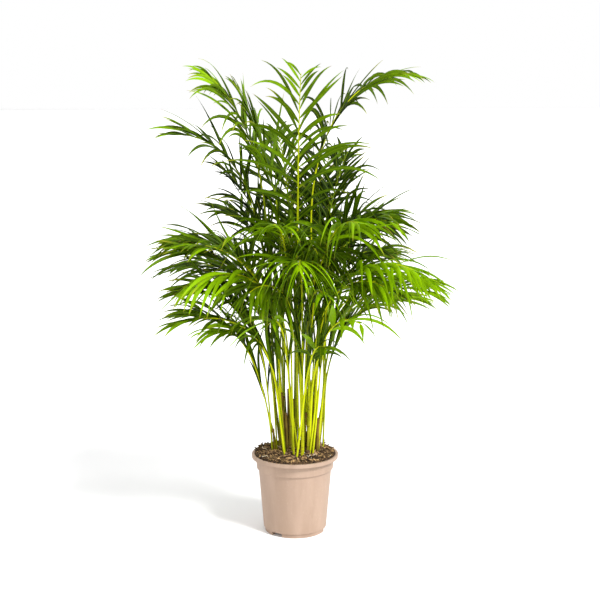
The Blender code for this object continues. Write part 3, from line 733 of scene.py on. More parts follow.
@dataclass(frozen=True)
class LeafFinish:
    """Living leaf: soft, veined lengthwise, letting light through, yellower at rib and tip.

    The tones are the leaf's lime, how far its tip has yellowed, and a random number.
    Spans of ``rib_edge``, ``foot_end``, ``tip_start`` and ``dry_start`` are places on
    the leaflet's own map, across it or along it.
    """

    deep: Colour = (0.014, 0.034, 0.0002)
    middle: Colour = (0.074, 0.146, 0.0005)
    fresh: Colour = (0.260, 0.480, 0.001)
    rib: Colour = (0.300, 0.400, 0.010)
    yellowed: Colour = (0.400, 0.400, 0.030)
    dried: Colour = (0.330, 0.200, 0.070)
    veins: float = 44.0
    vein_share: float = 0.035
    mottle_scale: float = 38.0
    mottle_share: float = 0.55
    rib_edge: Span = (0.012, 0.055)
    foot_end: float = 0.10
    tip_start: Span = (0.92, 1.14)
    dry_start: Span = (0.985, 1.02)
    roughness: Span = (0.34, 0.48)
    bump: float = 0.35
    bump_depth: float = 0.0005
    specular: float = 0.05
    let_through: float = 0.10
    fresh_through: float = 0.40

    def material(self) -> bpy.types.Material:
        """Colour from lime and mottling, then rib, foot and tip; bump from the veins.

        Returns:
            The material.
        """
        s = Shader("leaf")
        across, along, _ = s.parts(s.surface_map())
        lime, yellow, chance = s.tones()
        place = s.object_place()
        mottle = s.noise(place, self.mottle_scale, 4.0)
        vein = s.maths("SINE", s.maths("MULTIPLY", across, self.veins))
        cloud = s.maths("MULTIPLY", s.maths("SUBTRACT", mottle, 0.5), self.mottle_share)
        level = s.maths("ADD", lime, cloud)
        level = s.maths("ADD", level, s.maths("MULTIPLY", vein, self.vein_share), clamp=True)
        colour = s.mix(s.span(level, 0.0, 0.5), self.deep, self.middle)
        colour = s.mix(s.span(level, 0.5, 1.0), colour, self.fresh)
        off_rib = s.maths("ABSOLUTE", s.maths("SUBTRACT", across, 0.5))
        rib = s.span(off_rib, *self.rib_edge, 0.55, 0.0)
        foot = s.span(along, 0.0, self.foot_end, 0.75, 0.0)
        colour = s.mix(s.maths("MAXIMUM", rib, foot), colour, self.rib)
        tip = s.span(s.maths("ADD", along, s.maths("MULTIPLY", yellow, 0.22)), *self.tip_start)
        colour = s.mix(s.maths("MULTIPLY", tip, 0.75), colour, self.yellowed)
        dry = s.span(s.maths("ADD", along, s.maths("MULTIPLY", chance, 0.05)), *self.dry_start)
        colour = s.mix(dry, colour, self.dried)
        rough = s.span(mottle, 0.3, 0.7, *self.roughness)
        ripple = s.maths("ADD", s.maths("MULTIPLY", vein, 0.5), mottle)
        normal = s.bump(ripple, self.bump, self.bump_depth)
        skin = s.principled({"Base Color": colour, "Roughness": rough, "Normal": normal,
                             "Specular IOR Level": self.specular})
        glow = s.mix(self.fresh_through, colour, self.fresh)
        through = s.node("ShaderNodeBsdfTranslucent", {"Color": glow, "Normal": normal}).outputs[0]
        blend = s.node("ShaderNodeMixShader", {0: self.let_through, 1: skin, 2: through})
        return s.finish(blend.outputs[0])


@dataclass(frozen=True)
class StalkFinish:
    """Petiole, rachis or cane skin: satin, streaked lengthwise, with brown flecks.

    The first two tones are the lime of its leaf and how old and brown it is.
    """

    name: str
    green: Colour
    yellow: Colour
    brown: Colour = (0.055, 0.026, 0.006)
    straw: Colour = (0.180, 0.100, 0.030)
    flecks: float = 0.0
    roughness: Span = (0.36, 0.75)
    bump: float = 0.30
    bump_depth: float = 0.0005
    specular: float = 0.05

    def material(self) -> bpy.types.Material:
        """Green and yellow streaks by lime, then flecks and age.

        Returns:
            The material.
        """
        s = Shader(self.name)
        lime, age, _ = s.tones()
        place = s.object_place()
        streak = s.noise(s.surface_map(9.0, 5.0), 1.0, 4.0)
        cloud = s.noise(place, 22.0, 2.0)
        level = s.maths("ADD", s.maths("MULTIPLY", streak, 0.9), s.maths("MULTIPLY", cloud, 0.5))
        level = s.maths("ADD", level, s.maths("MULTIPLY", lime, 0.55))
        colour = s.mix(s.span(level, 0.55, 1.25), self.green, self.yellow)
        speck = s.span(s.noise(place, 260.0, 2.0, 0.7), 0.60, 0.72)
        patch = s.span(s.noise(s.surface_map(5.0, 9.0), 1.3, 3.0), 0.52, 0.70)
        worn = s.maths("MULTIPLY", s.maths("MAXIMUM", speck, patch), self.flecks)
        aged = s.maths("MULTIPLY", age, s.span(streak, 0.25, 0.65, 0.7, 1.15))
        old = s.maths("ADD", worn, aged, clamp=True)
        colour = s.mix(old, colour, s.mix(s.span(cloud, 0.35, 0.65), self.brown, self.straw))
        rough = s.span(old, 0.0, 1.0, *self.roughness)
        normal = s.bump(s.maths("ADD", streak, speck), self.bump, self.bump_depth)
        skin = s.principled({"Base Color": colour, "Roughness": rough, "Normal": normal,
                             "Specular IOR Level": self.specular})
        return s.finish(skin)


@dataclass(frozen=True)
class PotFinish:
    """Recycled moulded plastic: matte taupe with fine dark and pale specks and faint flow lines."""

    base: Colour = (0.345, 0.240, 0.176)
    dusty: Colour = (0.400, 0.284, 0.214)
    dark_speck: Colour = (0.200, 0.120, 0.080)
    pale_speck: Colour = (0.640, 0.520, 0.420)
    flow_scale: float = 26.0
    flow_stretch: float = 0.18
    speck_scale: float = 420.0
    grain_scale: float = 900.0
    roughness: Span = (0.46, 0.60)
    bump: float = 0.12
    bump_depth: float = 0.0006
    specular: float = 0.25

    def material(self) -> bpy.types.Material:
        """Clouded base with dark and pale specks; bump from a fine moulding grain.

        Returns:
            The material.
        """
        s = Shader("pot_plastic")
        place = s.object_place()
        tall = s.node("ShaderNodeMapping", {0: place, 3: (1.0, 1.0, self.flow_stretch)}).outputs[0]
        cloud = s.noise(tall, self.flow_scale, 4.0)
        colour = s.mix(s.span(cloud, 0.35, 0.68), self.base, self.dusty)
        distance, tint = s.cells(place, self.speck_scale)
        pick, other, _ = s.parts(tint)
        spot = s.span(distance, 0.12, 0.30, 1.0, 0.0)
        colour = s.mix(s.maths("MULTIPLY", spot, s.span(pick, 0.90, 0.93, 0.0, 0.7)), colour,
                       self.dark_speck)
        colour = s.mix(s.maths("MULTIPLY", spot, s.span(other, 0.86, 0.90, 0.0, 0.6)), colour,
                       self.pale_speck)
        grain = s.noise(place, self.grain_scale, 2.0)
        rough = s.span(cloud, 0.3, 0.7, *self.roughness)
        ripple = s.maths("ADD", grain, s.maths("MULTIPLY", cloud, 0.6))
        normal = s.bump(ripple, self.bump, self.bump_depth)
        skin = s.principled({"Base Color": colour, "Roughness": rough, "Normal": normal,
                             "Specular IOR Level": self.specular})
        return s.finish(skin)


@dataclass(frozen=True)
class CrumbFinish:
    """Loose matter of one kind: a dark and a pale colour that each bit lies between.

    The first tone is the bit's place between the two colours.
    """

    name: str
    dark: Colour
    pale: Colour
    scale: float
    roughness: float = 0.9
    bump: float = 0.7
    bump_depth: float = 0.0008
    specular: float = 0.25

    def material(self) -> bpy.types.Material:
        """Blend by tone and noise; bump from fibres and grain.

        Returns:
            The material.
        """
        s = Shader(self.name)
        shade, _, _ = s.tones()
        place = s.object_place()
        grain = s.noise(place, self.scale, 5.0, 0.65)
        fibre = s.noise(s.surface_map(7.0, 1.5), 1.6, 3.0)
        level = s.maths("ADD", shade, s.maths("MULTIPLY", s.maths("SUBTRACT", grain, 0.5), 1.3))
        level = s.maths("ADD", level, s.maths("MULTIPLY", s.maths("SUBTRACT", fibre, 0.5), 0.5))
        colour = s.mix(s.span(level, 0.05, 0.95), self.dark, self.pale)
        normal = s.bump(s.maths("ADD", grain, fibre), self.bump, self.bump_depth)
        skin = s.principled({"Base Color": colour, "Roughness": self.roughness, "Normal": normal,
                             "Specular IOR Level": self.specular})
        return s.finish(skin)


# ------------------------------------------------------------------ pot
def rounded(corners: Sequence[tuple[float, float]], cut: float, steps: int) -> Array:
    """Round every inner corner of an open outline.

    A corner P is cut back by ``cut``, or by less on a short side, and the gap is a
    quadratic curve: (1 - t)^2 A + 2 t (1 - t) P + t^2 B between the two cuts A and B.

    Args:
        corners: points of the outline.
        cut: how far a corner is cut back.
        steps: points of each curve.

    Returns:
        The rounded outline, with its two ends as they were.
    """
    points = np.asarray(corners, float)
    before, corner, after = points[:-2], points[1:-1], points[2:]
    back, ahead = before - corner, after - corner
    reach = np.minimum(cut, 0.45 * np.minimum(np.linalg.norm(back, axis=-1), np.linalg.norm(ahead, axis=-1)))
    first = corner + unit(back) * reach[:, None]
    last = corner + unit(ahead) * reach[:, None]
    t = np.linspace(0, 1, steps)[None, :, None]
    curve = (1 - t) ** 2 * first[:, None] + 2 * t * (1 - t) * corner[:, None] + t ** 2 * last[:, None]
    return np.concatenate([points[:1], curve.reshape(-1, 2), points[-1:]])


def spun(profile: Array, sides: int) -> Array:
    """Turn an outline about the Z axis: each of its points becomes a level ring.

    Args:
        profile: radius and height of each point.
        sides: corners of each ring.

    Returns:
        The rings, as a batch of one.
    """
    angle = 2 * math.pi * np.arange(sides) / sides
    flat = profile[:, 0, None]
    height = np.broadcast_to(profile[:, 1, None], (len(profile), sides))
    return np.stack([flat * np.cos(angle), flat * np.sin(angle), height], -1)[None]


def carve(piece: bpy.types.Object, cutter: Surface) -> None:
    """Cut a closed surface out of a piece and keep the result as the piece's mesh.

    Args:
        piece: the object that is cut.
        cutter: the closed surface.
    """
    tool = bpy.data.objects.new("cutter", mesh_of("cutter", cutter))
    bpy.context.scene.collection.objects.link(tool)
    change = piece.modifiers.new("carve", "BOOLEAN")
    change.operation = "DIFFERENCE"
    change.solver = "EXACT"
    change.object = tool
    graph = bpy.context.evaluated_depsgraph_get()
    whole = piece.data
    piece.data = bpy.data.meshes.new_from_object(piece.evaluated_get(graph))
    piece.modifiers.clear()
    bpy.data.meshes.remove(whole)
    bpy.data.meshes.remove(tool.data)


@dataclass
class Pot:
    """Thin-walled nursery pot: foot ring with notches, tapered body, collar and turned-down rim."""

    height: float = 0.192
    rim_radius: float = 0.105
    rim_height: float = 0.009
    mouth: float = 0.0990
    collar_top: float = 0.0952
    collar_foot: float = 0.0928
    collar_height: float = 0.156
    body_top: float = 0.0886
    body_foot: float = 0.0765
    foot_height: float = 0.011
    foot_radius: float = 0.0730
    foot_inner: float = 0.0640
    wall: float = 0.0018
    sides: int = 180
    notches: int = 3
    notch_width: float = 0.030
    notch_angle: float = 233.0
    drains: int = 6
    drain_radius: float = 0.0055
    drain_ring: float = 0.046
    drain_sides: int = 24
    heel: Span = (0.0001, 0.0020)
    rim_slope: float = 0.0002
    axis_gap: float = 0.001
    corner: float = 0.0012
    corner_steps: int = 5
    sharp: float = 40.0

    @property
    def throat(self) -> float:
        """Height at which the wall begins to flare out to the mouth."""
        return self.height - 5 * self.wall

    @property
    def rim_floor(self) -> float:
        """Height of the underside of the rim's flat."""
        return self.height - 2 * self.wall

    def inner_radius(self, height: Array | float) -> Array | float:
        """Radius of the inner wall, straight between the wall's corners.

        Args:
            height: height or heights above the floor under the pot.

        Returns:
            The radius at each height.
        """
        heights = (self.foot_height, self.collar_height - self.wall, self.collar_height + self.wall,
                   self.throat, self.rim_floor)
        radii = (self.body_foot, self.body_top, self.collar_foot, self.collar_top, self.mouth)
        return np.interp(height, heights, radii) - self.wall

    def outline(self) -> Array:
        """Lay out the shell from the middle of its underside round to the floor inside.

        Returns:
            Radius and height of each point, with rounded corners.
        """
        wall, top, step, near = self.wall, self.height, self.collar_height, self.axis_gap
        under, lip = self.foot_height - 0.5 * wall, top - self.rim_height
        outside = [(near, under), (self.foot_inner, under), (self.foot_inner, 0.0),
                   (self.foot_radius, 0.0), (self.foot_radius, under), (self.body_foot, under),
                   (self.body_foot + self.heel[0], under + self.heel[1]),
                   (self.body_top, step - 0.4 * wall), (self.collar_foot, step + 0.4 * wall),
                   (self.collar_top, self.throat), (self.mouth, self.rim_floor),
                   (self.rim_radius - wall, self.rim_floor), (self.rim_radius - wall, lip),
                   (self.rim_radius - self.rim_slope, lip), (self.rim_radius, top),
                   (self.mouth - 0.4 * wall, top)]
        inside = [(self.mouth - wall, self.rim_floor), (self.collar_top - wall, self.throat),
                  (self.collar_foot - wall, step + wall), (self.body_top - wall, step - wall),
                  (self.body_foot - wall, self.foot_height + wall), (near, self.foot_height + wall)]
        return rounded(outside + inside, self.corner, self.corner_steps)

    def openings(self) -> Surface:
        """Blocks through the foot ring and pins through the floor.

        Returns:
            One cutter of all of them.
        """
        turns = np.radians(self.notch_angle) + 2 * math.pi * np.arange(self.notches) / self.notches
        out = np.stack([np.cos(turns), np.sin(turns), 0 * turns], -1)
        along = np.stack([-np.sin(turns), np.cos(turns), 0 * turns], -1)
        top = self.foot_height - self.wall
        corners = np.array([(-0.5, -top), (0.5, -top), (0.46, top), (-0.46, top)])
        ring = along[:, None] * corners[None, :, :1] * self.notch_width + UP * corners[None, :, 1:]
        blocks = np.stack([ring + out[:, None] * reach for reach in (0.8 * self.foot_inner,
                                                                     1.2 * self.foot_radius)], 1)
        turns = 2 * math.pi * np.arange(self.drains) / self.drains
        centres = self.drain_ring * np.stack([np.cos(turns), np.sin(turns)], -1)
        pin = spun(np.array([(self.drain_radius, 0.5 * self.foot_height),
                             (self.drain_radius, self.foot_height + 2 * self.wall)]), self.drain_sides)
        pins = np.repeat(pin, self.drains, 0)
        pins[..., :2] += centres[:, None, None]
        return Surface.join([loft(blocks), loft(pins)])

    def build(self, finish: bpy.types.Material) -> None:
        """Turn the shell, cut its openings and put it in the scene.

        Args:
            finish: the pot's material.
        """
        shell = loft(spun(self.outline(), self.sides))
        pot = put("pot_shell", shell, [finish], ["pot"])
        carve(pot, self.openings())
        pot.data.set_sharp_from_angle(angle=math.radians(self.sharp))


# ------------------------------------------------------------------ soil
def turned_bits(rng: np.random.Generator, shapes: Array, tilt: Array) -> Array:
    """Turn each bit of a batch: a random roll and pitch of about its tilt, then any heading.

    Args:
        rng: source of the angles.
        shapes: points as batch, ring, corner and 3.
        tilt: spread of each bit's roll and pitch, in radians.

    Returns:
        The turned points.
    """
    count = len(shapes)
    pitch, roll = rng.normal(0, 1, (2, count)) * tilt
    yaw = rng.uniform(0, 2 * math.pi, count)
    turned_points = shapes
    for axis, angle in ((0, roll), (1, pitch), (2, yaw)):
        first, second = (axis + 1) % 3, (axis + 2) % 3
        cos, sin = np.cos(angle)[:, None, None], np.sin(angle)[:, None, None]
        a, b = turned_points[..., first], turned_points[..., second]
        turned_points = turned_points.copy()
        turned_points[..., first] = cos * a - sin * b
        turned_points[..., second] = sin * a + cos * b
    return turned_points


def chips(rng: np.random.Generator, centres: Array, sizes: Array, tilt: Array, shade: Array,
          uneven: float, slot: int = 0) -> Surface:
    """Broken bits, each four uneven six-sided rings along its length.

    Args:
        rng: source of the unevenness.
        centres: middle of each bit.
        sizes: length, width and thickness of each.
        tilt: how far each may lean, in radians.
        shade: first tone of each.
        uneven: share by which corners stray.
        slot: material slot.

    Returns:
        All the bits as one surface.
    """
    count = len(centres)
    corner = 2 * math.pi * np.arange(6) / 6
    reach = np.array([-0.5, -0.27, 0.22, 0.5])
    fat = np.array([0.50, 1.0, 0.92, 0.42])
    shape = np.empty((count, 4, 6, 3))
    shape[..., 0] = reach[None, :, None] * sizes[:, 0, None, None]
    shape[..., 1] = (fat[:, None] * np.cos(corner))[None] * sizes[:, 1, None, None] / 2
    shape[..., 2] = (fat[:, None] * np.sin(corner))[None] * sizes[:, 2, None, None] / 2
    shape *= 1 + uneven * np.clip(rng.normal(0, 1, shape.shape), -1.8, 1.8)
    placed = turned_bits(rng, shape, tilt) + centres[:, None, None]
    tones = np.zeros((count, 4, 6, 3))
    tones[..., 0] = shade[:, None, None]
    return loft(placed, tones, slot)


def tubes(lines: Array, radii: Array, sides: int, tones: Array | Sequence[float], slot: int = 0) -> Surface:
    """Round tubes along a batch of lines.

    Each ring lies across its line's direction, turned so that one axis stays level.

    Args:
        lines: points as batch, ring and 3.
        radii: radius as batch and ring.
        sides: corners of each ring.
        tones: tones as for a loft.
        slot: material slot.

    Returns:
        The tubes as one surface.
    """
    course = unit(np.gradient(lines, axis=1))
    guide = np.where(np.abs(course[..., 2:]) > 0.9, np.array([1.0, 0.0, 0.0]), UP)
    level = unit(np.cross(guide, course))
    rise = np.cross(course, level)
    angle = 2 * math.pi * np.arange(sides) / sides
    spoke = (level[:, :, None] * np.cos(angle)[:, None] + rise[:, :, None] * np.sin(angle)[:, None])
    length = np.linalg.norm(np.diff(lines[0], axis=0), axis=-1)
    return loft(lines[:, :, None] + spoke * radii[..., None, None], tones, slot,
                along=np.concatenate([[0.0], np.cumsum(length)]))


@dataclass(frozen=True)
class Bits:
    """One kind of broken bit that is strewn over the soil.

    Sizes are length, width and thickness, between ``low`` and ``high``.  ``tilt`` is how
    far bits lean, in radians, ``shade`` the range of their first tone, ``sink`` the share
    of the thickness that their middle is raised by, and ``uneven`` how far corners stray.
    """

    count: int
    low: tuple[float, float, float]
    high: tuple[float, float, float]
    tilt: float
    shade: Span
    sink: float
    uneven: float


@dataclass(frozen=True)
class Strands:
    """One kind of fibre or shred: how many, how long and thick, how pale and how curled."""

    count: int
    longest: float
    radius: Span
    shade: Span
    curl: float
    corners: int


@dataclass
class Soil:
    """Potting soil of bark, coir and peat, mounded a little, with perlite and pale shreds.

    ``standing`` gives groups of chips that stand up at the pot's edge: how many, the
    bearing of the group and its spread, in degrees.
    """

    pot: Pot
    growth: Growth
    seed: int = 11
    rings: int = 110
    sides: int = 260
    depth: float = 0.150
    lift: float = 0.0108
    wall_gap: float = 0.0004
    lumps: tuple[Relief, ...] = (Relief(0.0016, 21, 24, 0.012, 0.035), Relief(0.0009, 22, 32, 0.004, 0.010))
    grain: Relief = Relief(0.0006, 23, 40, 0.0014, 0.0040)
    clouds: Relief = Relief(0.22, 24, 24, 0.003, 0.020)
    shade: float = 0.30
    side_shade: float = 0.28
    bark: Bits = Bits(1000, (0.0046, 0.0020, 0.0010), (0.0150, 0.0066, 0.0034), 0.28, (0.0, 1.0), 0.15, 0.20)
    crumbs: Bits = Bits(900, (0.0012, 0.0010, 0.0008), (0.0040, 0.0030, 0.0024), 0.5, (0.0, 0.8), 0.10, 0.22)
    perlite: Bits = Bits(60, (0.0010, 0.0009, 0.0008), (0.0030, 0.0026, 0.0022), 0.5, (0.4, 1.0), 0.30, 0.14)
    fibres: Strands = Strands(260, 0.026, (0.00018, 0.00042), (0.0, 0.9), 1.6, 3)
    shreds: Strands = Strands(16, 0.022, (0.0006, 0.0013), (0.4, 1.0), 0.9, 4)
    bit_inset: float = 0.003
    bit_lean: Span = (0.3, 1.6)
    bit_most_lean: float = 1.2
    bit_stand: float = 0.28
    strand_inset: float = 0.002
    strand_length: Span = (0.35, 1.0)
    strand_rise: Span = (0.0004, 0.0028)
    strand_lift: float = 0.002
    strand_taper: tuple[float, ...] = (0.5, 0.9, 1.0, 0.85, 0.4)
    standing: tuple[tuple[int, float, float], ...] = ((34, 166, 13), (10, 20, 26), (9, 60, 40))
    standing_inset: Span = (0.002, 0.012)
    standing_sizes: tuple[Span, ...] = ((0.008, 0.017), (0.002, 0.005), (0.001, 0.003))
    standing_lift: float = 0.25
    standing_tilt: Span = (0.4, 1.1)
    standing_shade: Span = (0.0, 0.6)
    standing_uneven: float = 0.22
    rim_count: int = 26
    rim_inset: float = 0.0015
    rim_tilt: float = 0.3
    rim_lift: float = 0.35
    rim_shade: Span = (0.0, 0.7)
    rim_uneven: float = 0.2
    rim_bearing: Span = (-95, 42)
    rim_sizes: Span = (0.0008, 0.0024)

    @property
    def edge(self) -> float:
        """Radius of the pot's inner wall where the soil meets it."""
        return self.pot.inner_radius(self.growth.soil_edge + self.lift)

    def height(self, x: Array, y: Array) -> Array:
        """The soil's dome, lifted, with soft lumps on it.

        Args:
            x: places along X.
            y: places along Y.

        Returns:
            The height at each place.
        """
        place = np.stack([x, y], -1)
        broad, small = (relief.at(place) for relief in self.lumps)
        return self.growth.soil_height(x, y) + self.lift + (broad + small)

    def bed(self) -> Surface:
        """The body of the soil, turned about Z: a floor and a wall, then a dome with a fine grain.

        Returns:
            The closed surface.
        """
        edge = self.edge - self.wall_gap
        throat = self.pot.throat
        neck, foot = (self.pot.inner_radius(level) - self.wall_gap for level in (throat, self.depth))
        reach = edge * np.linspace(1, 0.004, self.rings)
        profile = np.concatenate([[(self.pot.axis_gap, self.depth), (foot, self.depth), (neck, throat)],
                                  np.stack([reach, 0 * reach], -1)])
        rings = spun(profile, self.sides)
        top = rings[0, 3:]
        rings[0, 3:, :, 2] = self.height(top[..., 0], top[..., 1]) + self.grain.at(top[..., :2])
        tone = np.full(rings.shape, self.side_shade)
        tone[0, 3:, :, 0] = self.shade + self.clouds.at(top[..., :2])
        return loft(rings, tone)

    def scatter(self, rng: np.random.Generator, count: int) -> tuple[Array, Array]:
        """Spread places evenly over the soil: the radius is the root of an even draw.

        Args:
            rng: source of the places.
            count: how many.

        Returns:
            X and Y of each place.
        """
        reach = (self.edge - self.bit_inset) * np.sqrt(rng.uniform(0, 1, count))
        turn = rng.uniform(0, 2 * math.pi, count)
        return reach * np.cos(turn), reach * np.sin(turn)

    def bits(self, rng: np.random.Generator, kind: Bits) -> Surface:
        """Strew bits over the soil, sized between two triples on an even scale of ratios.

        Args:
            rng: source of places, sizes and angles.
            kind: what bits they are.

        Returns:
            All the bits as one surface.
        """
        x, y = self.scatter(rng, kind.count)
        share = rng.uniform(0, 1, (kind.count, 3))
        sizes = np.asarray(kind.low) * (np.asarray(kind.high) / np.asarray(kind.low)) ** share
        lean = kind.tilt * rng.uniform(*self.bit_lean, kind.count)
        stand = np.sin(np.minimum(lean, self.bit_most_lean)) * sizes[:, 0] * self.bit_stand
        z = self.height(x, y) + stand + sizes[:, 2] * kind.sink
        tone = rng.uniform(*kind.shade, kind.count)
        return chips(rng, np.stack([x, y, z], -1), sizes, lean, tone, kind.uneven)

    def upright(self, rng: np.random.Generator, count: int, turn: float, spread: float) -> Surface:
        """Stand a few bark chips up at the pot's edge about one bearing.

        Args:
            rng: source of places, sizes and angles.
            count: how many.
            turn: bearing of their middle, in degrees.
            spread: spread of their bearings, in degrees.

        Returns:
            The chips as one surface.
        """
        at = np.radians(turn + spread * rng.normal(0, 1, count))
        reach = self.edge - rng.uniform(*self.standing_inset, count)
        x, y = reach * np.cos(at), reach * np.sin(at)
        sizes = np.stack([rng.uniform(*span, count) for span in self.standing_sizes], -1)
        z = self.height(x, y) + self.standing_lift * sizes[:, 0]
        return chips(rng, np.stack([x, y, z], -1), sizes, rng.uniform(*self.standing_tilt, count),
                     rng.uniform(*self.standing_shade, count), self.standing_uneven)

    def strands(self, rng: np.random.Generator, kind: Strands) -> Surface:
        """Lay fibres or shreds over the lumps, each on a curve of even bend.

        A strand's heading changes evenly along it, and its steps are summed.

        Args:
            rng: source of places, lengths and bends.
            kind: what strands they are.

        Returns:
            The strands as one surface.
        """
        count, points = kind.count, len(self.strand_taper)
        x, y = self.scatter(rng, count)
        way = np.linspace(-0.5, 0.5, points)
        length = kind.longest * rng.uniform(*self.strand_length, count)
        bend = kind.curl * rng.normal(0, 1, count)
        heading = rng.uniform(0, 2 * math.pi, count)[:, None] + bend[:, None] * way
        step = length[:, None] / points
        across = x[:, None] + np.cumsum(np.cos(heading) * step, 1) - 0.5 * length[:, None] * np.cos(heading)
        along = y[:, None] + np.cumsum(np.sin(heading) * step, 1) - 0.5 * length[:, None] * np.sin(heading)
        limit = self.edge - self.strand_inset
        shrink = np.minimum(1.0, limit / np.maximum(np.hypot(across, along), 1e-6))
        across, along = across * shrink, along * shrink
        thick = rng.uniform(*kind.radius, count)
        rise = rng.uniform(*self.strand_rise, count)[:, None] + self.strand_lift * np.abs(
            rng.normal(0, 1, (count, points)))
        lines = np.stack([across, along, self.height(across, along) + thick[:, None] + rise], -1)
        radii = thick[:, None] * np.array(self.strand_taper)
        tones = np.zeros((count, points, kind.corners, 3))
        tones[..., 0] = rng.uniform(*kind.shade, count)[:, None, None]
        return tubes(lines, radii, kind.corners, tones)

    def rim_crumbs(self, rng: np.random.Generator) -> Surface:
        """Drop crumbs on the rim's top, most of them at the front.

        Args:
            rng: source of places and sizes.

        Returns:
            The crumbs as one surface.
        """
        count = self.rim_count
        turn = np.radians(rng.normal(*self.rim_bearing, count))
        reach = rng.uniform(self.pot.mouth, self.pot.rim_radius - self.rim_inset, count)
        sizes = rng.uniform(*self.rim_sizes, (count, 3))
        centres = np.stack([reach * np.cos(turn), reach * np.sin(turn),
                            self.pot.height + self.rim_lift * sizes[:, 2]], -1)
        return chips(rng, centres, sizes, np.full(count, self.rim_tilt),
                     rng.uniform(*self.rim_shade, count), self.rim_uneven)

    def build(self, soil: bpy.types.Material, bark: bpy.types.Material, pale: bpy.types.Material,
              white: bpy.types.Material) -> None:
        """Make the bed and everything that lies on it.

        Args:
            soil: material of the bed.
            bark: material of chips, crumbs and fibres.
            pale: material of the shreds.
            white: material of the perlite.
        """
        rng = np.random.default_rng(self.seed)
        put("soil_bed", self.bed(), [soil], ["potting_soil"])
        coarse, fine = self.bits(rng, self.bark), self.bits(rng, self.crumbs)
        edges = [self.upright(rng, *group) for group in self.standing]
        put("soil_bark", Surface.join([coarse, fine, *edges, self.rim_crumbs(rng)]), [bark],
            ["potting_soil"], 50)
        put("soil_fibres", self.strands(rng, self.fibres), [bark], ["potting_soil"])
        put("soil_shreds", self.strands(rng, self.shreds), [pale], ["potting_soil"], 50)
        put("soil_perlite", self.bits(rng, self.perlite), [white], ["potting_soil"])


# ------------------------------------------------------------------ canes
class Age(Enum):
    """How a cane has aged; the value is how brown its skin is at the foot and at the top."""

    FRESH = (0.10, 0.00)
    RIPE = (0.42, 0.04)
    DRY = (0.95, 0.60)


@dataclass(frozen=True)
class Stub:
    """A cut stalk: foot (m), lean and its bearing (degrees), height and radius (m), and how brown."""

    x: float
    y: float
    lean: float
    towards: float
    height: float
    radius: float
    brown: float


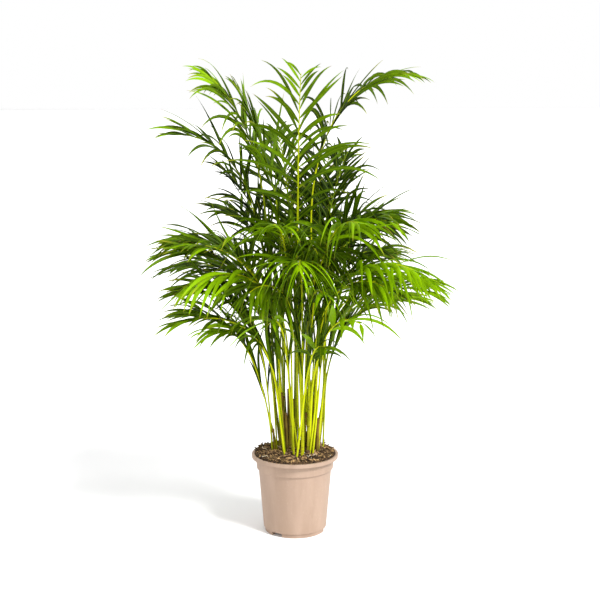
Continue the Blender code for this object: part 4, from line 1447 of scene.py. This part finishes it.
@dataclass
class Canes:
    """Slim ringed stems in the middle of the pot, the dry sheaths at their feet and cut stubs.

    ``small_stubs`` more stubs stand among the canes, each drawn from the ranges of ``stub_range``.
    """

    growth: Growth
    seed: int = 300
    litter_seed: int = 41
    planted: float = 0.022
    sides: int = 16
    step: float = 0.0022
    most_nodes: int = 12
    first_node_drop: float = 0.012
    bare_top: float = 0.02
    node_gap: Span = (0.026, 0.052)
    node_swell: float = 0.00045
    node_width: float = 0.0011
    node_brown: float = 0.55
    flare: float = 0.0008
    flare_height: float = 0.010
    foot_brown: float = 0.35
    foot_brown_height: float = 0.012
    crown: float = 0.007
    crown_round: float = 2.2
    crown_least: float = 0.12
    slim: float = 0.58
    bow: float = 0.0011
    ages: dict[int, Age] = field(default_factory=lambda: {
        1: Age.FRESH, 2: Age.RIPE, 3: Age.FRESH, 4: Age.DRY, 5: Age.RIPE, 6: Age.FRESH,
        7: Age.FRESH, 8: Age.FRESH, 9: Age.FRESH, 10: Age.RIPE, 11: Age.DRY, 12: Age.FRESH,
        13: Age.RIPE, 14: Age.FRESH, 15: Age.RIPE, 16: Age.RIPE})
    sheath_heights: dict[int, float] = field(default_factory=lambda: {
        2: 0.024, 4: 0.050, 5: 0.016, 8: 0.014, 10: 0.022, 11: 0.045, 13: 0.026, 15: 0.030, 16: 0.020})
    sheath_grid: tuple[int, int] = (12, 15)
    sheath_turn: Span = (110, 210)
    sheath_gap: float = 0.0009
    sheath_flare: float = 0.0008
    sheath_wave: float = 0.0003
    sheath_wall: float = 0.0004
    sheath_foot: float = -0.006
    stub_sides: int = 12
    stub_planted: float = 0.012
    stubs: tuple[Stub, ...] = (Stub(-0.047, -0.016, 4, 200, 0.066, 0.0026, 0.80),
                               Stub(0.052, -0.014, 2, 350, 0.092, 0.0042, 0.90),
                               Stub(-0.018, -0.006, 2, 170, 0.100, 0.0026, 0.85))
    small_stubs: int = 24
    stub_range: tuple[Span, ...] = ((-0.045, 0.055), (-0.015, 0.040), (0, 5), (0, 360), (0.05, 0.17),
                                    (0.0022, 0.0038), (0.4, 1.0))

    def stem(self, number: int, cane: Cane) -> Surface:
        """One cane: a taper with a low bow, swollen at its nodes and rounded off at the top.

        The radius is the even taper, plus a bell curve at each node, and towards the end
        it closes as the square root of the length that is left.

        Args:
            number: the cane's number, which seeds its nodes.
            cane: its few values.

        Returns:
            The closed surface.
        """
        rng = np.random.default_rng(self.seed + number)
        foot, _, axis = self.growth.cane_line(cane)
        length = cane.length + self.crown
        rings = int((length + self.planted) / self.step)
        along = np.linspace(-self.planted, length, rings)
        share = np.clip(along / cane.length, 0, 1)
        above = np.maximum(along, 0)
        radius = self.growth.cane_foot_radius + (
            self.growth.cane_top_radius - self.growth.cane_foot_radius) * share
        nodes = np.cumsum(rng.uniform(*self.node_gap, self.most_nodes)) - self.first_node_drop
        nodes = nodes[nodes < cane.length - self.bare_top]
        swell = np.exp(-((along[:, None] - nodes[None]) / self.node_width) ** 2).sum(1)
        radius = (self.slim * radius + self.node_swell * swell
                  + self.flare * np.exp(-above / self.flare_height))
        left = np.clip((length - along) / (self.crown_round * self.crown), 0, 1)
        radius = radius * np.maximum(np.sqrt(left), self.crown_least)
        heading = rng.uniform(0, 2 * math.pi)
        sway = np.sin(math.pi * share) * self.bow
        line = foot + along[:, None] * axis + sway[:, None] * np.array(
            [math.cos(heading), math.sin(heading), 0.0])
        low, high = self.ages[number].value
        brown = (low + (high - low) * share + self.node_brown * np.clip(swell, 0, 1)
                 + self.foot_brown * np.exp(-above / self.foot_brown_height))
        tones = np.zeros((1, rings, self.sides, 3))
        tones[..., 0] = rng.uniform(0.3, 0.9)
        tones[..., 1] = np.clip(brown, 0, 1)[:, None]
        return tubes(line[None], radius[None], self.sides, tones)

    def sheath(self, rng: np.random.Generator, cane: Cane, height: float) -> Surface:
        """A papery remnant round part of a cane: a thin curved wall with a ragged top.

        The wall is a grid of rows up the cane and bearings round it, once for its inside
        and once for its outside, and each ring joins the two.

        Args:
            rng: source of its place round the cane and of its ragged top.
            cane: the cane that it is on.
            height: its height above the soil.

        Returns:
            The closed surface.
        """
        foot, _, axis = self.growth.cane_line(cane)
        rows, count = self.sheath_grid
        start = rng.uniform(0, 2 * math.pi)
        turn = start + np.linspace(0, math.radians(rng.uniform(*self.sheath_turn)), count)
        up = np.linspace(self.sheath_foot, 1.0, rows) * height
        up[0] = self.sheath_foot
        rag = 1 - np.abs(Relief(0.45, int(rng.integers(1000)), 8, 0.004, 0.02).at(turn[:, None] * 0.01))
        skin_radius = self.growth.cane_foot_radius + self.sheath_gap + self.sheath_flare * (up / height) ** 2
        wave = self.sheath_wave * np.sin(3 * turn[None] + 40 * up[:, None])
        spoke = np.stack([np.cos(turn), np.sin(turn), 0 * turn], -1)
        rise = up[:, None] * np.where(up[:, None] > 0, np.clip(rag, 0.4, 1.2)[None], 1.0)
        inside, outside = (
            foot + (skin_radius[:, None] + wall + wave)[..., None] * spoke[None] + rise[..., None] * axis
            for wall in (0.0, self.sheath_wall))
        closed = np.concatenate([outside, inside[:, ::-1]], 1)
        tones = np.zeros(closed.shape)
        tones[..., 0] = rng.uniform(0.2, 0.9)
        return loft(closed[None], tones[None])

    def cut_stub(self, stub: Stub) -> Surface:
        """A cut stalk beside the canes: a straight tube with a flat, dried top.

        Args:
            stub: its place and sizes.

        Returns:
            The closed surface.
        """
        start = np.array([stub.x, stub.y, self.growth.soil_height(stub.x, stub.y) - self.stub_planted])
        along = np.concatenate([np.linspace(0, 0.985, 26), [0.995, 1.0]]) * (stub.height + self.stub_planted)
        line = start + along[:, None] * direction(stub.lean, stub.towards)
        share = along / along[-1]
        radii = stub.radius * (1.25 - 0.25 * along / along[-1])
        radii[-1] *= 0.93
        tones = np.zeros((1, len(along), self.stub_sides, 3))
        tones[..., 0] = 0.6
        tones[..., 1] = np.clip(stub.brown + 1.1 * np.clip((share - 0.90) / 0.10, 0, 1), 0, 1)[:, None]
        return tubes(line[None], radii[None], self.stub_sides, tones)

    def build(self, skin: bpy.types.Material, dry: bpy.types.Material) -> None:
        """Make every cane, then the sheaths and the stubs.

        Args:
            skin: material of canes and stubs.
            dry: material of the sheaths.
        """
        for number, cane in CANES.items():
            name = f"cane_{number:02d}"
            put(f"stem_{number:02d}", self.stem(number, cane), [skin], [name])
        rng = np.random.default_rng(self.litter_seed)
        sheaths = [self.sheath(rng, CANES[number], height) for number, height in self.sheath_heights.items()]
        put("dry_sheaths", Surface.join(sheaths), [dry], sharp=50)
        small = [Stub(*(rng.uniform(*span) for span in self.stub_range)) for _ in range(self.small_stubs)]
        stubs = [self.cut_stub(stub) for stub in (*self.stubs, *small)]
        put("cut_stubs", Surface.join(stubs), [skin], sharp=60)


# ------------------------------------------------------------------ fronds
@dataclass
class Fronds:
    """Feather leaves: a channelled stalk from the soil up, and two rows of folded leaflets.

    ``looks`` gives the values in which a leaf differs from the frame's.  Names with
    ``stray`` are the spread of a random part, and names with ``inner`` belong to the
    shaded leaves on the petioles.
    """

    growth: Growth
    foot_seed: int = 1500
    leaflet_seed: int = 700
    stalk_seed: int = 900
    inner_seed: int = 1200
    width: float = 0.0108
    full_width_from: float = 0.11
    more_pairs: float = 1.50
    sweep: float = 0.80
    reach: float = 1.20
    reach_fall: float = 0.20
    sag: float = 1.08
    stray_spread: float = 0.15
    stray_sag: float = 0.40
    stray_vee: float = 0.30
    stray_reach: float = 0.14
    stray_width: float = 0.12
    stray_twist: Span = (0.16, 0.26)
    stray_lime: float = 0.13
    yellowing: Span = (0.35, 0.35)
    # Painted shade: a leaflet's lime is raised by the span of shade below as its distance from the plant's
    # middle goes between these two values, so the leaflets inside the plant are darker.
    painted_shade_reach: Span = (0.07, 0.30)
    shade: Span = (-0.38, 0.22)
    inner: int = 5
    inner_from: Span = (0.10, 1.0)
    inner_lean: float = 0.10
    inner_bend: Span = (0.15, 0.85)
    inner_length: Span = (0.12, 0.24)
    inner_half_width: Span = (0.0036, 0.0062)
    inner_lime: Span = (0.0, 0.60)
    inner_yellow: Span = (0.0, 0.40)
    looks: dict[str, dict[str, float]] = field(default_factory=lambda: {
        "crown_centre": {"spread": 66.0, "droop": 0.70, "leaflet": 0.158, "lime": 0.55},
        "crown_left": {"leaflet": 0.140, "spread": 42.0, "droop": 1.2, "lime": 0.75},
        "crown_right": {"spread": 54.0, "droop": 1.3, "lime": 0.45, "leaflet": 0.145},
        "bright_left": {"pairs": 8, "droop": 1.8, "lime": 0.85},
        "bright_right": {"pairs": 9}, "low_left": {"pairs": 6},
        "lowest_left": {"pairs": 5, "lime": 0.7}, "long_right": {"pairs": 8, "lime": 0.5},
        "shoulder_left": {"pairs": 8, "lime": 0.25}, "thin_left": {"pairs": 6}})
    lime_from: float = 0.65
    deep_to: float = 0.15
    stations: int = 12
    narrow_foot: float = 0.66
    foot_end: float = 0.34
    point_from: float = 0.40
    point_power: float = 1.55
    least_width: float = 0.02
    fold: float = 0.36
    blade_thickness: float = 0.00030
    rib: float = 0.00050
    blade_across: tuple[float, ...] = (0.0, 0.5, 1.0, 0.5)
    stalk_sides: int = 12
    slim: Span = (0.84, 0.80)
    hollow: float = 0.34
    ridge: float = 0.25
    section_change: float = 0.04
    stalk_lime: float = 0.35
    leaf_share: float = 0.40
    # Painted shade: stalks whose feet stand towards the back (+Y) lose this much lime, over this depth.
    painted_back_shade_share: float = 0.35
    painted_back_shade_range: float = 0.030
    stray_stalk: float = 0.28
    foot_brown: Span = (0.1, 0.5)
    foot_brown_height: float = 0.06
    foot_radius: float = 0.0024
    foot_ring: Span = (0.006, 0.019)
    foot_points: int = 60
    planted: float = 0.018
    step: float = 0.007
    ease: float = 0.045
    ease_reach: float = 0.150
    ease_from: float = 0.030

    def half_width(self, way: Array) -> Array:
        """Share of full half width along a leaflet: narrow foot, full by a third, long point.

        Args:
            way: fractions of the leaflet's length.

        Returns:
            The product of a foot that rises as a square and a point that falls as a power.
        """
        foot = 1 - self.narrow_foot * (1 - np.clip(way / self.foot_end, 0, 1)) ** 2
        point = 1 - np.clip((way - self.point_from) / (1 - self.point_from), 0, 1) ** self.point_power
        return foot * np.maximum(point, self.least_width)

    def stem(self, frond: Frond, stalk: Stalk) -> tuple[Stalk, float]:
        """Join the stalk to a run down beside its cane, and ease the joint.

        The run starts in the soil at a spot of its own round the cane.  Points near
        the joint are averaged with their neighbours under a bell curve of half width
        ``ease``; further off than ``ease_reach`` the line is as it was.

        Args:
            frond: the leaf's few values.
            stalk: its curve from the top of the cane.

        Returns:
            The whole line from inside the soil to the tip, and the length below the joint.
        """
        foot, top, _ = self.growth.cane_line(CANES[frond.cane])
        offset = stalk.points[0] - top
        share = np.linspace(-self.planted / CANES[frond.cane].length, 1, self.foot_points,
                            endpoint=False)[:, None]
        rng = np.random.default_rng(self.foot_seed + int(frond.heading) + 7 * frond.cane)
        turn = rng.uniform(0, 2 * math.pi)
        spot = np.array([math.cos(turn), math.sin(turn), 0.0]) * rng.uniform(*self.foot_ring)
        run = foot + (top - foot) * share + spot * (1 - share) + offset * share
        corners = np.concatenate([run, stalk.points])
        lengths = np.concatenate([[0], np.cumsum(np.linalg.norm(np.diff(corners, axis=0), axis=-1))])
        below = lengths[len(run)]
        even = np.linspace(0, lengths[-1], int(lengths[-1] / self.step) + 1)
        line = np.stack([np.interp(even, lengths, row) for row in corners.T], -1)
        apart = (even[:, None] - even[None]) / self.ease
        weight = np.exp(-0.5 * apart ** 2)
        soft = weight @ line / weight.sum(1, keepdims=True)
        away = np.clip((np.abs(even - below) - 0.5 * self.ease_reach) / (0.5 * self.ease_reach), 0, 1)
        away = np.maximum(away, np.clip(1 - even / self.ease_from, 0, 1))[:, None]
        line = line * away + soft * (1 - away)
        ahead = unit(np.gradient(line, axis=0))
        side = unit(stalk.side[:1] - ahead * (ahead @ stalk.side[0])[:, None])
        return Stalk(line, ahead, side, np.cross(ahead, side)), below

    def roofs(self, lines: Array, wide: Array, deep: Array, full: Array) -> Array:
        """Rings of a shallow roof section along each line: edge, ridge, edge and the rib below.

        Args:
            lines: middle line of each blade.
            wide: direction of the blade's width at each point.
            deep: direction from the rib to the ridge at each point.
            full: greatest half width of each blade.

        Returns:
            Rings, blade by blade.
        """
        way = np.linspace(0, 1, self.stations)
        half = (full[:, None] * self.half_width(way)[None])[..., None]
        fold = (self.fold * (1.35 - 0.85 * way))[None, :, None]
        thick = self.blade_thickness * (1 - 0.6 * way)[None, :, None]
        rib = self.rib * (1 - 0.75 * way)[None, :, None]
        drop = fold * half
        left = lines - wide * half * np.cos(fold) - deep * drop
        right = lines + wide * half * np.cos(fold) - deep * drop
        return np.stack([left, lines + deep * thick, right, lines - deep * rib], 2)

    def blades(self, rings: Array, lime: Array, yellow: Array, chance: Array) -> Surface:
        """Skin the rings of leaf blades and give them their tones.

        Args:
            rings: roof sections, blade by blade.
            lime: first tone, for each point of each blade or one for each blade.
            yellow: how far each blade's tip has yellowed.
            chance: a random number for each blade.

        Returns:
            The blades as one surface.
        """
        tones = np.empty(rings.shape)
        tones[..., 0] = lime[..., None]
        tones[..., 1] = yellow[:, None, None]
        tones[..., 2] = chance[:, None, None]
        return loft(rings, tones, 0, np.array(self.blade_across), np.linspace(0, 1, self.stations))

    def inner_leaves(self, frond: Frond, stem: Stalk, below: float, number: int) -> Surface:
        """A few upright, shaded leaves on the petiole of one frond.

        Each starts along its stalk and bends away from it by way ** 1.5 times its own angle.

        Args:
            frond: the leaf's few values.
            stem: its line from the soil to its tip.
            below: length of the line below the top of the cane.
            number: the frond's number, which seeds the draws.

        Returns:
            The leaves as one surface.
        """
        rng = np.random.default_rng(self.inner_seed + number)
        count = self.inner
        total = below + frond.petiole + frond.blade
        start = (below + frond.petiole * rng.uniform(*self.inner_from, count)) / total
        base, ahead, side, up = stem.at(start)
        turn = rng.uniform(0, 2 * math.pi, count)[:, None]
        out = side * np.cos(turn) + up * np.sin(turn)
        way = np.linspace(0, 1, self.stations)
        angle = rng.uniform(*self.inner_bend, count)[:, None] * way ** 1.5 + self.inner_lean
        course = ahead[:, None] * np.cos(angle)[..., None] + out[:, None] * np.sin(angle)[..., None]
        step = rng.uniform(*self.inner_length, count)[:, None, None] / (self.stations - 1)
        lines = base[:, None] + np.cumsum(course * step, 1) - course[:, :1] * step
        wide = unit(np.cross(course, out[:, None]))
        full = rng.uniform(*self.inner_half_width, count)
        rings = self.roofs(lines, wide, np.cross(wide, course), full)
        return self.blades(rings, rng.uniform(*self.inner_lime, count)[:, None],
                           rng.uniform(*self.inner_yellow, count), rng.uniform(0, 1, count))

    def strayed(self, rng: np.random.Generator, plan: LeafletPlan) -> LeafletPlan:
        """Loosen a leaflet plan: each value gets a random part that fades out to the tip.

        Args:
            rng: source of the draws.
            plan: the even layout.

        Returns:
            The loosened layout.
        """
        fade = np.minimum(1, 3 * (1 - plan.place) + 0.2)
        stray = np.clip(rng.normal(0, 1, (4, len(plan.place))), -2, 2) * fade
        return replace(plan, spread=plan.spread * self.sweep + self.stray_spread * stray[0],
                       droop=plan.droop * (self.sag + self.stray_sag * stray[1]),
                       vee=plan.vee + self.stray_vee * stray[3],
                       length=plan.length * (self.reach - self.reach_fall * plan.place
                                             + self.stray_reach * stray[2]))

    def leaflets(self, frond: Frond, stalk: Stalk, seed: int) -> Surface:
        """All the leaflets of one frond.

        A leaflet's width lies along the rachis, square to its line, turned by a small
        twist that grows to the tip.  Its lime grows with its distance from the plant's
        middle, as painted shade that darkens the leaflets inside the plant.

        Args:
            frond: the leaf's few values.
            stalk: the curve that the leaflets grow from.
            seed: the frond's number, which seeds the draws.

        Returns:
            The leaflets as one surface.
        """
        rng = np.random.default_rng(self.leaflet_seed + seed)
        plan = self.strayed(rng, self.growth.leaflet_plan(frond, seed))
        count = len(plan.place)
        lines = self.growth.leaflet_lines(frond, stalk, plan, self.stations - 1)
        way = np.linspace(0, 1, self.stations)
        course = unit(np.gradient(lines, axis=1))
        ahead = stalk.at(frond.neck + (1 - frond.neck) * plan.place)[1][:, None]
        wide = unit(ahead - course * (ahead * course).sum(-1, keepdims=True))
        deep = plan.side[:, None, None] * np.cross(wide, course)
        whole, growing = self.stray_twist
        angle = (whole * rng.normal(0, 1, count)[:, None] + growing * rng.normal(0, 1, count)[:, None]
                 * way[None])[..., None]
        wide, deep = wide * np.cos(angle) + deep * np.sin(angle), deep * np.cos(angle) - wide * np.sin(angle)
        full = 0.5 * self.width * frond.wide * np.minimum(1, plan.length / self.full_width_from) * (
            1 + self.stray_width * np.clip(rng.normal(0, 1, count), -2, 2))
        rings = self.roofs(lines, wide, deep, full)
        # Painted shade: less lime for leaflets near the plant's middle, more at its outside.
        out = np.interp(np.hypot(lines[..., 0], lines[..., 1]), self.painted_shade_reach, self.shade)
        light = frond.lime + out + self.stray_lime * rng.normal(0, 1, count)[:, None]
        yellow = np.clip(rng.normal(*self.yellowing, count), 0, 1)
        return self.blades(rings, np.clip(light, 0, 1), yellow, rng.uniform(0, 1, count))

    def stalk(self, frond: Frond, stem: Stalk, below: float, number: int) -> Surface:
        """Petiole and rachis, from the soil to the tip.

        The section is round with a hollow along its face on the petiole and a low ridge
        there on the rachis.  The radius falls from the foot to the petiole's, then to the
        tip's along the blade.

        Args:
            frond: the leaf's few values.
            stem: its line from the soil to its tip.
            below: length of the line below the top of the cane.
            number: the frond's number, which seeds the draws.

        Returns:
            The closed surface.
        """
        length = np.concatenate([[0], np.cumsum(np.linalg.norm(np.diff(stem.points, axis=0), axis=-1))])
        neck, end = below + frond.petiole, length[-1]
        petiole, tip = self.growth.petiole_radius * self.slim[0], self.growth.rachis_tip_radius * self.slim[1]
        radii = (self.foot_radius, 0.5 * (self.foot_radius + petiole), petiole, tip)
        radius = np.interp(length, (0.0, below, neck, end), radii)
        angle = 2 * math.pi * np.arange(self.stalk_sides) / self.stalk_sides
        up = np.clip(np.sin(angle), 0, 1) ** 4
        on_blade = np.clip((length - neck) / self.section_change, 0, 1)[:, None]
        shape = 1 - self.hollow * up[None] * (1 - on_blade) + self.ridge * up[None] * on_blade
        reach = radius[:, None] * shape
        rings = stem.points[:, None] + reach[..., None] * (
            stem.side[:, None] * np.cos(angle)[:, None] + stem.face[:, None] * np.sin(angle)[:, None])
        rng = np.random.default_rng(self.stalk_seed + number)
        tones = np.zeros((1, len(length), self.stalk_sides, 3))
        # Painted shade: a stalk rising at the back of the canes is given less lime.
        painted_back_shade = float(np.clip(stem.points[0, 1] / self.painted_back_shade_range, -0.4, 1.0))
        lime = self.stalk_lime + self.leaf_share * frond.lime - self.painted_back_shade_share * painted_back_shade
        tones[..., 0] = np.clip(lime + self.stray_stalk * rng.normal(), 0, 1)
        tones[..., 1] = (rng.uniform(*self.foot_brown) * np.exp(-length / self.foot_brown_height))[:, None]
        return loft(rings[None], tones, 1, along=length)

    def slot(self, frond: Frond) -> str:
        """The record's slot for a leaf of that lime."""
        return ("leaf_lime" if frond.lime >= self.lime_from
                else "leaf_deep" if frond.lime <= self.deep_to else "leaf_green")

    def build(self, leaf: bpy.types.Material, stalk_skin: bpy.types.Material) -> None:
        """Make every frond of the plant; those with narrow leaflets get more pairs.

        Args:
            leaf: material of the leaflets.
            stalk_skin: material of petiole and rachis.
        """
        for number, (grown, stalk) in enumerate(self.growth.plant()):
            frond = replace(grown, **self.looks.get(grown.name, {}))
            stem, below = self.stem(frond, stalk)
            total = below + frond.petiole + frond.blade
            upper = stem.at((below + (total - below) * np.linspace(0, 1, len(stalk.points))) / total)
            fuller = frond
            if frond.wide == 1.0 and frond.name != "crown_centre":
                fuller = replace(frond, pairs=round(frond.pairs * self.more_pairs))
            whole = Surface.join([self.leaflets(fuller, Stalk(*upper), number),
                                  self.inner_leaves(frond, stem, below, number),
                                  self.stalk(frond, stem, below, number)])
            put(f"leaf_{frond.name}", whole, [leaf, stalk_skin],
                [f"frond_{frond.name}"], 60)


# ------------------------------------------------------------------ studio
@dataclass
class Studio:
    """White floor and surroundings, one broad sun-like key from the front right, and the camera."""

    key_strength: float = 3.6
    key_angle: float = 14.0
    key_from: tuple[float, float, float] = (1.1, -1.15, 1.6)
    world: float = 1.0
    floor_half: float = 60.0
    floor_depth: float = 0.02
    floor_tones: Span = (0.935, 0.945)
    floor_roughness: float = 0.9
    floor_glow: float = 0.05
    eye: tuple[float, float, float] = (0.0122, -3.0, 1.070)
    tilt: float = 80.51
    lens: float = 76.56
    sensor: float = 36.0

    def floor(self) -> None:
        """A wide pale slab under the pot, with its top at height 0."""
        square = np.array([(-1, -1), (1, -1), (1, 1), (-1, 1)]) * self.floor_half
        rings = np.stack([np.concatenate([square, np.full((4, 1), level)], -1)
                          for level in (-self.floor_depth, 0.0)])
        s = Shader("floor")
        dim, bright = ((tone, tone, tone) for tone in self.floor_tones)
        colour = s.mix(s.noise(s.object_place(), 3.0, 2.0), dim, bright)
        finish = s.finish(s.principled({
            "Base Color": colour, "Roughness": self.floor_roughness, "Specular IOR Level": 0.0,
            "Emission Color": (1.0, 1.0, 1.0), "Emission Strength": self.floor_glow}))
        slab = bpy.data.objects.new("floor", mesh_of("floor", loft(rings[None])))
        slab.data.materials.append(finish)
        bpy.context.scene.collection.objects.link(slab)

    def lights(self) -> None:
        """White surroundings and a soft-edged sun."""
        world = bpy.data.worlds.new("studio")
        world.use_nodes = True
        back = next(node for node in world.node_tree.nodes if node.type == "BACKGROUND")
        back.inputs["Color"].default_value = (1.0, 1.0, 1.0, 1.0)
        back.inputs["Strength"].default_value = self.world
        bpy.context.scene.world = world
        sun = bpy.data.lights.new("key", "SUN")
        sun.energy = self.key_strength
        sun.angle = math.radians(self.key_angle)
        lamp = bpy.data.objects.new("key", sun)
        lamp.rotation_euler = Vector(self.key_from).to_track_quat("Z", "Y").to_euler()
        bpy.context.scene.collection.objects.link(lamp)

    def camera(self) -> None:
        """A camera at about the plant's height, a little tilted down."""
        lens = bpy.data.cameras.new("camera")
        lens.lens = self.lens
        lens.sensor_width = self.sensor
        eye = bpy.data.objects.new("camera", lens)
        eye.location = self.eye
        eye.rotation_euler = (math.radians(self.tilt), 0.0, 0.0)
        bpy.context.scene.collection.objects.link(eye)
        bpy.context.scene.camera = eye

    def build(self) -> None:
        """Set up the whole studio, with colours shown as they are."""
        self.floor()
        self.lights()
        self.camera()
        bpy.context.scene.view_settings.view_transform = "Standard"


def main() -> None:
    """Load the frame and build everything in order."""
    logging.basicConfig(level=logging.INFO, format="%(name)s: %(message)s", stream=sys.stdout)
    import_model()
    growth, pot = Growth(), Pot()
    Studio().build()
    pot.build(PotFinish().material())
    soil = CrumbFinish("soil", dark=(0.014, 0.008, 0.004), pale=(0.230, 0.130, 0.060), scale=420.0)
    bark = CrumbFinish("bark", dark=(0.016, 0.008, 0.003), pale=(0.500, 0.310, 0.140), scale=260.0)
    wood = CrumbFinish("pale_wood", dark=(0.450, 0.320, 0.190), pale=(0.780, 0.660, 0.480), scale=160.0)
    white = CrumbFinish("perlite", dark=(0.560, 0.540, 0.490), pale=(0.850, 0.840, 0.800), scale=500.0)
    Soil(pot, growth).build(soil.material(), bark.material(), wood.material(), white.material())
    cane = StalkFinish("cane", green=(0.070, 0.130, 0.001), yellow=(0.520, 0.540, 0.004), flecks=0.75)
    dry = CrumbFinish("dry_sheath", dark=(0.090, 0.045, 0.022), pale=(0.260, 0.160, 0.080), scale=120.0)
    Canes(growth).build(cane.material(), dry.material())
    stalk = StalkFinish("stalk", green=(0.060, 0.130, 0.001), yellow=(0.560, 0.620, 0.004), flecks=0.35)
    Fronds(growth).build(LeafFinish().material(), stalk.material())


if __name__ == "__main__":
    main()
